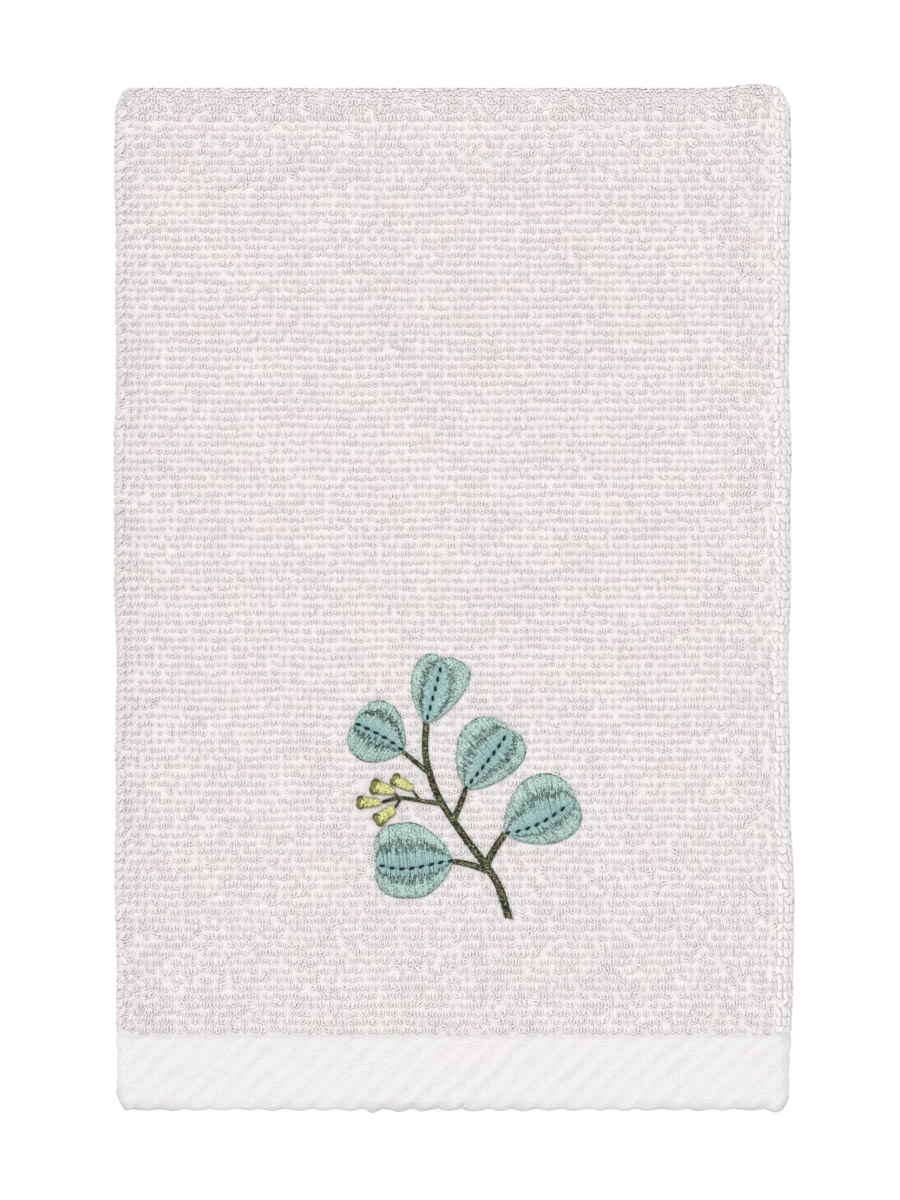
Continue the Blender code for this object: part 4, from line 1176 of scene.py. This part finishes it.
class LeafPlan:
    """A leaf's own directions and surface, for its padding and its stitches alike. Side 1 is its left half
    and side -1 its right half."""

    def __init__(self, leaf, crown=0.0):
        self.leaf, self.crown = leaf, crown
        midrib = np.subtract(leaf.tip, leaf.base)
        self.length = float(np.hypot(*midrib))
        self.forward = midrib / self.length
        self.leftward = np.array((-self.forward[1], self.forward[0]))

    def half(self, side):
        return self.leaf.left if side > 0 else self.leaf.right

    def to_face(self, along, across):
        """Face places from distances along and across the midrib."""
        return [self.leaf.base[k] + along * self.forward[k] + across * self.leftward[k] for k in (0, 1)]

    def from_face(self, x, y):
        """Distances along and across the midrib from face places."""
        x, y = x - self.leaf.base[0], y - self.leaf.base[1]
        return [x * way[0] + y * way[1] for way in (self.forward, self.leftward)]

    def vein(self, s):
        """Along and across of the midrib at share s, bent aside by half a sine wave that is highest at
        bow_at."""
        bent = np.clip(s, 0, 1) ** (math.log(0.5) / math.log(self.leaf.bow_at))
        return self.length * s, self.leaf.bow * np.sin(np.pi * bent)

    def place(self, side, edge_share, t):
        """Face places and lift at share t of the way from the midrib to the edge.

        A stitch goes straight from its root on the midrib to the point of the outline at edge_share of its
        length. The lift falls evenly from the vein to an edge sunk into the pile, with a padded crown
        between.
        """
        half = self.half(side)
        along, across, reach = half_outline(self.length, half, self.leaf.notch, self.leaf.blunt)
        at = edge_share * reach[-1]
        edge_along, edge_across = np.interp(at, reach, along), np.interp(at, reach, across) * side
        abreast = np.clip(edge_along / self.length, 0, 1)
        root = (1 - half.square) * edge_share ** half.fan + half.square * abreast
        root_along, root_across = self.vein(root)
        x, y = self.to_face(root_along + (edge_along - root_along) * t,
                            root_across + (edge_across - root_across) * t)
        lift = VEIN_LIFT * (1 - t) - EDGE_SUNK * t ** 4 + self.crown * dome(t, 0.7) * dome(edge_share, 0.45)
        return x, y, lift

    def middle(self, side, t):
        """1 where the two bands of stitches of a half meet, and 0 away from there."""
        return np.exp(-(((t - self.half(side).meet) / BAND_WIDTH) ** 2))

    def evenly(self, side, spacing, offset):
        """Edge shares of stitches that lie evenly apart where their two bands meet, as a column."""
        fine = np.linspace(0, 1, 240)
        x, y, _ = self.place(side, fine, self.half(side).meet)
        reach = distances(x, y)
        count = round(reach[-1] / spacing)
        share_of_all = (np.arange(count) + offset) / count
        return np.clip(np.interp(share_of_all * reach[-1], reach, fine), *EDGE_ENDS)[:, None]

    def padding(self):
        """The dark ground under the stitches, painted shade where it shows between them: both halves as one
        closed lens, its top on the leaf's surface and its bottom in the pile. It is darkest where the bands
        of stitches meet."""
        edge, t = np.meshgrid(np.linspace(0.0, 1.0, 41)[1:-1], np.linspace(-0.97, 0.97, 25), indexing="ij")
        halves = [(*self.place(side, edge, np.abs(t)), self.middle(side, np.abs(t)) * self.half(side).dark)
                  for side in (1, -1)]
        x, y, lift, middle = (np.where(t < 0, right, left) for left, right in zip(*halves))
        top, bottom = on_face(x, y, lift - PADDING_UNDER), on_face(x, y, np.full_like(x, IN_PILE))
        # Painted shade: darkest where the bands of stitches meet.
        shade = 0.66 * (1 - np.clip(0.7 * middle * dome(edge), 0, 1))
        return ring_sweep(np.concatenate((top, bottom[:, ::-1]), axis=1),
                          shade=np.concatenate((shade, 0 * shade), axis=1), mix=0.0, run=0.0)

    def stitches(self, sprig, rng):
        """Satin stitches in two interlocking bands on each half. The inner ones leave the vein and end at
        uneven places past the line where they meet, the outer ones start unevenly before it and end at the
        edge. All dip at their ends and thin where they interlock, with short dark strands among them that
        paint the shade in the gaps. The stitches too are painted darker, as shade, where the bands meet and
        at the edge."""
        made = [self.padding(), self.rim()]
        for side in (1, -1):
            meet, dark = self.half(side).meet, self.half(side).dark
            for outer in (False, True):
                tau = np.array(OUTER_STATIONS if outer else INNER_STATIONS)
                edge = self.evenly(side, mm(sprig.spacing), 0.75 if outer else 0.25)
                count = len(edge)
                edge = np.clip(edge + rng.normal(0, STITCH_STRAY / count, (count, 1)), *EDGE_ENDS)
                uneven = rng.uniform(-1, 1, (2, count, 1))
                if outer:
                    start = (meet - OUTER_OVERLAP.least - OUTER_OVERLAP.bulge * dome(edge)
                             + OVERLAP_UNEVEN * uneven[0])
                    stop = 1 + EDGE_UNEVEN * uneven[1]
                    sunk = 1 - dome(tau, 0.4)
                else:
                    start = 0.0
                    stop = (meet + INNER_OVERLAP.least + INNER_OVERLAP.bulge * dome(edge)
                            + OVERLAP_UNEVEN * uneven[1])
                    sunk = 1 - np.cos(np.pi / 2 * tau).clip(0) ** 0.4
                t = start + (stop - start) * tau
                x, y, lift = self.place(side, edge + 0 * t, t)
                lift = lift + STITCH_LIFT - STITCH_DIP * sunk + LIFT_STRAY * rng.normal(0, 1, (count, 1))
                middle = self.middle(side, t) * dome(edge)
                wide = (mm(sprig.thread) / 2 * (SPREAD + EDGE_SPREAD * smooth(0.45, 0.8, t))
                        * (1 - BAND_THIN * middle))
                # Painted shade: darker where the bands meet and at the edge; the stray is random tone.
                shade = (LIGHT - BAND_DARK * dark * middle + rng.normal(0, LIGHT_STRAY, (count, 1))
                         - EDGE_DARK * smooth(0.9, 1, t))
                by_vein = BY_VEIN * np.exp(-((t / BY_VEIN_REACH) ** 2))
                path = np.stack((x, y, lift), axis=-1)
                steps = np.linalg.norm(np.diff(path, axis=1), axis=-1)
                run = np.concatenate((np.zeros((count, 1)), np.cumsum(steps, axis=1)), axis=1)
                made.append(threads(path, wide, STITCH_HIGH, shade=np.clip(shade, 0, 1), mix=by_vein,
                                    run=run))
            made.append(self.gaps(side, mm(sprig.spacing), rng))
        return joined(made)

    def gaps(self, side, spacing, rng):
        """The shaded gaps where the two bands of a half meet, as painted shade: short thin dark strands
        between its stitches, two to a gap at uneven places."""
        half = self.half(side)
        edge = np.repeat(self.evenly(side, GAP_SPACING * spacing, 0.5), 2, axis=0)
        count = len(edge)
        edge = np.clip(edge + rng.normal(0, STITCH_STRAY / count, (count, 1)), 0.02, 0.98)
        uneven = rng.uniform(-1, 1, (3, count, 1))
        at = half.meet + GAP_STRAY * dome(edge) * uneven[0]
        reach = GAP_REACH + GAP_REACH_STRAY * uneven[1]
        tau = np.linspace(-1, 1, 6)
        t = np.clip(at + reach * tau, 0.05, 0.97)
        x, y, lift = self.place(side, edge + 0 * t, t)
        path = np.stack((x, y, lift + 0.15 - 0.12 * tau ** 2), axis=-1)
        wide = GAP_WIDE * half.dark * (1 + GAP_WIDE_STRAY * uneven[2])
        # Painted shade in the gaps: nearly black strands.
        return threads(path, wide, GAP_HIGH, 4, shade=rng.uniform(0.0, GAP_LIGHT, (count, 1)), mix=0.0, run=t)

    def rim(self):
        """The shaded outline: a thread round the leaf just under the ends of its stitches, coloured as a
        painted shadow along the edge.
        """
        edge = np.linspace(0.01, 0.99, 50)
        left, right = (np.stack(self.place(side, edge, np.ones_like(edge)), axis=-1) for side in (1, -1))
        path = np.concatenate((left, right[::-1]))
        path[:, 2] = -0.12
        # Painted shadow along the edge, unevenly dark.
        shade = np.clip(0.32 + 0.40 * drift(path[:, 0], path[:, 1], 2.2, 31), 0, 0.8)
        return threads(path[None], 0.13, 0.15, shade=shade[None], mix=0.0, run=0.0)

    def run_stitches(self, sprig):
        """The vein: a thin cord along the midrib and short fat stitches over it at an even pitch, each laid a
        little aslant."""
        leaf = self.leaf
        along, across = self.vein(np.linspace(leaf.vein_from, leaf.vein_to, 24))

        def path(a, c, lift):
            return np.stack(np.broadcast_arrays(*self.to_face(a, c), lift), axis=-1)

        cord = threads(path(along[None], across[None], VEIN_LIFT), leaf.vein_width / 2, 0.13,
                       shade=leaf.vein_light, mix=0.0, run=along[None])
        count = max(2, round((along[-1] - along[0]) / mm(sprig.vein_pitch)) + 1)
        tau = np.linspace(-0.5, 0.5, 7)
        a = np.linspace(along[0] + 0.3, along[-1] - 0.3, count)[:, None] + RUN_STITCH * tau
        c = self.vein(a / self.length)[1] + RUN_SLANT * tau
        over = threads(path(a, c, 0.72 - 0.8 * tau ** 2), 0.38 * dome(tau + 0.5), 0.26,
                       shade=0.0, mix=0.0, run=a)
        return joined([cord, over])


class TOWEL_OT_leaves(bpy.types.Operator):
    """Stitch the five leaves in satin stitch, and their veins in run stitch"""
    bl_idname = "towel.leaves"
    bl_label = "Leaves"

    def execute(self, context):
        sprig = settings(context, "sprig")
        satin = thread_material("Leaf thread", sprig.leaf_painted_shade, sprig.leaf_light, sprig.leaf_vein_side,
                                specks=2.4)
        vein = thread_material("Vein thread", sprig.vein, sprig.vein_cord, sprig.vein, specks=0.2,
                               roughness=0.6)
        for number, leaf in enumerate(LEAVES):
            plan = LeafPlan(leaf, mm(sprig.crown))
            rng = np.random.default_rng(sprig.seed + number)
            make_piece(leaf.name + "_satin", plan.stitches(sprig, rng), satin, (leaf.name,))
            make_piece(leaf.name + "_vein", plan.run_stitches(sprig), vein)
        return {"FINISHED"}


def smooth_line(points, step=0.25):
    """Points at even steps on a smooth line through the given ones: Catmull-Rom stretches with mirrored ends.
    Also the direction at each, and the distance."""
    given = np.array(points, float)
    held = np.concatenate((2 * given[:1] - given[1:2], given, 2 * given[-1:] - given[-2:-1]))
    t = np.linspace(0, 1, 40, endpoint=False)[:, None]
    parts = []
    for a, b, c, d in zip(held, held[1:], held[2:], held[3:]):
        parts.append(0.5 * (2 * b + (c - a) * t + (2 * a - 5 * b + 4 * c - d) * t ** 2
                            + (3 * b - a - 3 * c + d) * t ** 3))
    line = np.concatenate(parts + [given[-1:]])
    reach = distances(*line.T)
    at = np.linspace(0, reach[-1], max(3, round(reach[-1] / step) + 1))
    even = np.stack([np.interp(at, reach, line[:, k]) for k in (0, 1)], axis=1)
    direction = np.gradient(even, axis=0)
    direction /= np.linalg.norm(direction, axis=1, keepdims=True)
    return even, direction, at


def branch_patches(branch, sprig, rng):
    """A branch: a padded core in the dark colour, painted shade where it shows at the sides, and stitches
    that cross it at a slant, arched over it like rope. They are painted darkest at their ends, as shade, and
    those at the ends of the branch are drawn in to it."""
    line, direction, at = smooth_line(branch.points)
    width = np.interp(at, (0, at[-1]), (branch.root_width, branch.end_width))
    core = np.concatenate((line, np.full((len(line), 1), -0.05)), axis=1)[None]
    core = threads(core, width * 0.50, 0.32, 8, shade=0.0, mix=0.0, run=0.0)
    count = max(3, round(at[-1] / mm(sprig.stem_spacing)))
    middle = np.linspace(0.1, at[-1] - 0.1, count)
    tau = np.linspace(-1, 1, 7)
    half = np.interp(middle, at, width)[:, None] / 2 * (1 + 0.08 * rng.normal(0, 1, (count, 1)))
    lead = middle[:, None] + 1.5 * half * tau
    centre, ahead = (np.stack([np.interp(lead, at, values[:, k]) for k in (0, 1)], axis=-1)
                     for values in (line, direction))
    over = np.clip(lead, 0, at[-1]) - lead
    aside = np.stack((-ahead[..., 1], ahead[..., 0]), axis=-1)
    plan = centre + aside * (tau * half)[..., None] - 0.3 * ahead * over[..., None]
    lift = -0.34 + 0.74 * np.sqrt(np.clip(1 - tau ** 2, 0, 1)) + 0.04 * rng.normal(0, 1, (count, 1))
    path = np.concatenate((plan, lift[..., None]), axis=-1)
    # Painted shade: darkest at the ends of each stitch, where it turns under.
    shade = rng.uniform(0.0, 0.42, (count, 1)) * np.clip(1.1 - 1.2 * np.abs(tau) ** 1.6, 0, 1)
    return [core, threads(path, 0.19, 0.15, shade=shade, mix=0.9 * np.abs(tau) ** 2.5, run=tau * 1.25)]


class TOWEL_OT_stem(bpy.types.Operator):
    """Stitch the stem and its branches in slanting stitches"""
    bl_idname = "towel.stem"
    bl_label = "Stem"

    def execute(self, context):
        sprig = settings(context, "sprig")
        rng = np.random.default_rng(sprig.seed + STEM_SEED)
        dark, light = sprig.stem_dark, sprig.stem_light
        material = thread_material("Stem thread", dark, light, dark, specks=3.6, roughness=0.5)
        patches = [patch for branch in STEM for patch in branch_patches(branch, sprig, rng)]
        make_piece("stem_stitches", joined(patches), material, ("stem",))
        return {"FINISHED"}


BUD_SPACING, CAP_SPACING = 0.36, 0.34
CAP_SHARE = 0.30                # depth of a bud's open end, as a share of its width
CAP_ENDS = 0.62                 # how far from its middle the outer stitches across it are, in its depths


def bud_patch(bud, rng):
    """A bud: slanting stitches across a cone that widens from its neck, painted darker, as shade, on the side
    towards the front hem. At its open end a dark thread goes round an oval of half-dark stitches. All lie on
    a padded core."""
    neck, cap = np.array((bud.neck_x, bud.neck_y)), np.array((bud.cap_x, bud.cap_y))
    length = float(np.hypot(*(cap - neck)))
    forward = (cap - neck) / length
    leftward = np.array((-forward[1], forward[0]))

    def place(a, c, lift):
        plan = neck + np.multiply.outer(a, forward) + np.multiply.outer(c, leftward)
        return np.concatenate((plan, np.broadcast_to(lift, plan.shape[:-1])[..., None]), axis=-1)

    rim_depth = CAP_SHARE * bud.cap_width
    dark_side = 1 if leftward[1] < 0 else -1        # the side towards the front hem
    body = length - rim_depth
    count = round(body / BUD_SPACING)
    a = np.linspace(0.1, body - 0.35 * rim_depth, count)[:, None]
    tau = np.linspace(-1, 1, 8)
    half = (bud.neck_width + (bud.cap_width - bud.neck_width) * (a / body) ** 0.65) / 2
    half = half * (1 + 0.06 * rng.normal(0, 1, (count, 1)))
    slanting = a + 0.30 * tau * half + 0 * tau
    lift = (-0.35 + 0.95 * np.sqrt(np.clip(1 - np.abs(tau) ** 2.4, 0, 1))
            + 0.04 * rng.normal(0, 1, (count, 1)))
    # Painted shade on the side towards the front hem; the rest is random tone.
    shade = np.clip(rng.uniform(0.6, 1.0, (count, 1)) - 0.75 * np.clip(tau * dark_side - 0.2, 0, 1), 0, 1)
    body_threads = threads(place(slanting, tau * half, lift), 0.235, 0.16, shade=shade, mix=0.0,
                           run=tau * half)

    angle = np.linspace(0, 2 * np.pi, 15)[None]
    centre = length - rim_depth * 0.95
    rim = place(centre + rim_depth * 0.85 * np.cos(angle), bud.cap_width * 0.46 * np.sin(angle), 0.50)
    rim_thread = threads(rim, 0.22, 0.20, shade=0.2, mix=0.85, run=angle)
    count = max(3, round(rim_depth * 1.5 / CAP_SPACING))
    beside = np.linspace(-CAP_ENDS, CAP_ENDS, count)[:, None]
    a = centre + beside * rim_depth
    reach = bud.cap_width * 0.40 * np.sqrt(1 - beside ** 2)
    lift = 0.52 - 0.15 * tau ** 2
    middle = threads(place(a + 0.15 * tau, tau * reach, lift), 0.20, 0.15, run=tau * reach,
                     shade=rng.uniform(0.0, 0.3, (count, 1)), mix=rng.uniform(0.05, 0.35, (count, 1)))

    a_core, tau_core = np.meshgrid(np.linspace(0.0, length - 0.25, 14), np.linspace(-1, 1, 9), indexing="ij")
    wide = (bud.neck_width + (bud.cap_width - bud.neck_width) * (a_core / body).clip(0, 1) ** 0.8) / 2
    wide = wide * np.sqrt(np.clip(1 - ((a_core - body).clip(0) / rim_depth) ** 2, 0.02, 1)) * 0.9
    top = place(a_core, tau_core * wide, -0.35 + 0.75 * np.sqrt(np.clip(1 - tau_core ** 2, 0, 1)))
    bottom = place(a_core, tau_core * wide, -0.9 + 0 * a_core)
    ring = np.concatenate((top, bottom[:, ::-1]), axis=1)
    core = ring_sweep(on_face(*np.moveaxis(ring, -1, 0)), shade=0.1, mix=0.35, run=0.0)
    return joined([core, body_threads, middle, rim_thread])


class TOWEL_OT_buds(bpy.types.Operator):
    """Stitch the four buds"""
    bl_idname = "towel.buds"
    bl_label = "Buds"

    def execute(self, context):
        sprig = settings(context, "sprig")
        material = thread_material("Bud thread", sprig.bud_dark, sprig.bud_light, sprig.cap, specks=3.2)
        for number, bud in enumerate(BUDS):
            patch = bud_patch(bud, np.random.default_rng(sprig.seed + BUD_SEED + number))
            make_piece(bud.name + "_stitches", patch, material, (bud.name,))
        return {"FINISHED"}


class TOWEL_OT_hem_stitches(bpy.types.Operator):
    """Sew the side hem that shows on the underside"""
    bl_idname = "towel.hem_stitches"
    bl_label = "Side hem stitches"

    def execute(self, context):
        """A row of closed lock stitches on the face side of the right flap's hem: each runs along the cut and
        is highest in its middle."""
        cloth = settings(context, "cloth")
        step = mm(cloth.hem_stitch)
        start = np.arange(V_MARKS[4] + 2, CUT_LENGTH - HEADING_DEPTH, step)[:, None]
        tau = np.linspace(0, 1, 6)
        angle = 2 * np.pi * np.arange(5) / 5
        along = start + 0.82 * step * tau
        rise = mm(cloth.side_hem) / 2 - 0.10 + 0.28 * np.sin(np.pi * tau) ** 0.5
        u = CUT_WIDTH - SIDE_HEM + 1.6 + 0 * along
        ring_u = u[:, 1:-1, None] + 0.20 * np.cos(angle)
        ring_rise = rise[1:-1, None] + 0.14 * np.sin(angle) + 0 * ring_u
        ring_v = along[:, 1:-1, None] + 0 * ring_u
        count = len(start)
        flat = [np.concatenate((ends[:, :1], ring.reshape(count, -1), ends[:, -1:]), axis=1)
                for ends, ring in ((u, ring_u), (along, ring_v), (rise + 0 * along, ring_rise))]
        patch = Patch(on_cloth(*flat), tube_faces(count, 4, 5), shading=0.1, across=flat[0], along=flat[1])
        material = cotton_material("Hem thread", cloth.white, settings(context, "pile").shade, bump=0.1)
        make_piece("hem_stitches", patch.outward(), material)
        return {"FINISHED"}


# ---- stage -------------------------------------------------------------------------------------------------

class TOWEL_OT_stage(bpy.types.Operator):
    """Lay the pale floor, light it softly and set the camera straight above the face"""
    bl_idname = "towel.stage"
    bl_label = "Stage"

    def light(self, name, place, softness, strength):
        """A far, wide soft light that shines from place towards the origin."""
        data = bpy.data.lights.new(name, "SUN")
        data.angle = softness
        data.energy = strength
        lamp = bpy.data.objects.new(name, data)
        lamp.location = place
        lamp.rotation_euler = (-lamp.location).to_track_quat("-Z", "Y").to_euler()
        bpy.context.scene.collection.objects.link(lamp)

    def execute(self, context):
        studio = settings(context, "studio")
        scene = context.scene
        bpy.ops.mesh.primitive_circle_add(vertices=96, radius=6.0, fill_type="NGON")
        floor = context.active_object
        floor.name = "floor"
        material, tree, shader = new_material("Floor")
        place = add(tree, "ShaderNodeTexCoord").outputs["Object"]
        noise = add(tree, "ShaderNodeTexNoise", {"Vector": place, "Scale": 30.0})
        tone = mixed(tree, noise.outputs["Fac"], rgba(studio.floor), rgba([v * 0.985 for v in studio.floor]))
        tree.links.new(tone, shader.inputs["Base Color"])
        shader.inputs["Roughness"].default_value = 0.8
        shader.inputs["Emission Color"].default_value = (1, 1, 1, 1)
        shader.inputs["Emission Strength"].default_value = studio.floor_glow
        floor.data.materials.append(material)

        self.light("key", (-0.8, 1.2, 2.3), math.radians(40), studio.key)
        self.light("fill", (1.6, -0.8, 2.2), math.radians(60), studio.fill)
        world = bpy.data.worlds.new("Studio")
        world.use_nodes = True
        background = world.node_tree.nodes["Background"]
        background.inputs["Color"].default_value = (1, 1, 1, 1)
        background.inputs["Strength"].default_value = studio.sky
        scene.world = world
        scene.view_settings.view_transform = "Standard"

        data = bpy.data.cameras.new("camera")
        data.lens, data.sensor_width, data.sensor_fit = LENS, SENSOR, "AUTO"
        data.clip_start, data.clip_end = 0.01, 50
        camera = bpy.data.objects.new("camera", data)
        away = PICTURE_HEIGHT * PIXEL * LENS / SENSOR
        centre_x = SHIFT[0] + (PICTURE_WIDTH / 2 - FACE_AT[0]) * PIXEL
        centre_y = SHIFT[1] - (PICTURE_HEIGHT / 2 - FACE_AT[1]) * PIXEL
        camera.location = (centre_x * MM, centre_y * MM, (STACK + SHIFT[2] + away) * MM)
        scene.collection.objects.link(camera)
        scene.camera = camera
        return {"FINISHED"}


# ---- panel and run -----------------------------------------------------------------------------------------

OPERATORS = (TOWEL_OT_ground, TOWEL_OT_headings, TOWEL_OT_hem_stitches, TOWEL_OT_pile, TOWEL_OT_leaves,
             TOWEL_OT_stem, TOWEL_OT_buds, TOWEL_OT_stage)


class TOWEL_PT_panel(bpy.types.Panel):
    """Sizes, colours and steps of the towel"""
    bl_idname = "TOWEL_PT_panel"
    bl_label = "Folded Hand Towel"
    bl_space_type = "VIEW_3D"
    bl_region_type = "UI"
    bl_category = "Towel"

    def draw(self, context):
        for name, _ in GROUPS:
            box = self.layout.box()
            box.label(text=name.capitalize())
            values = settings(context, name)
            for key in values.bl_rna.properties.keys():
                if key not in ("rna_type", "name"):
                    box.prop(values, key)
        for operator in OPERATORS:
            self.layout.operator(operator.bl_idname)


def register():
    for _, kind in GROUPS:
        bpy.utils.register_class(kind)
    for name, kind in GROUPS:
        setattr(bpy.types.Scene, "towel_" + name, PointerProperty(type=kind))
    for kind in (*OPERATORS, TOWEL_PT_panel):
        bpy.utils.register_class(kind)


def unregister():
    for kind in (TOWEL_PT_panel, *reversed(OPERATORS)):
        bpy.utils.unregister_class(kind)
    for name, kind in reversed(GROUPS):
        delattr(bpy.types.Scene, "towel_" + name)
        bpy.utils.unregister_class(kind)


def main():
    register()
    bpy.ops.towel.ground()
    bpy.ops.towel.headings()
    bpy.ops.towel.hem_stitches()
    bpy.ops.towel.pile()
    bpy.ops.towel.leaves()
    bpy.ops.towel.stem()
    bpy.ops.towel.buds()
    bpy.ops.towel.stage()


if __name__ == "__main__":
    main()
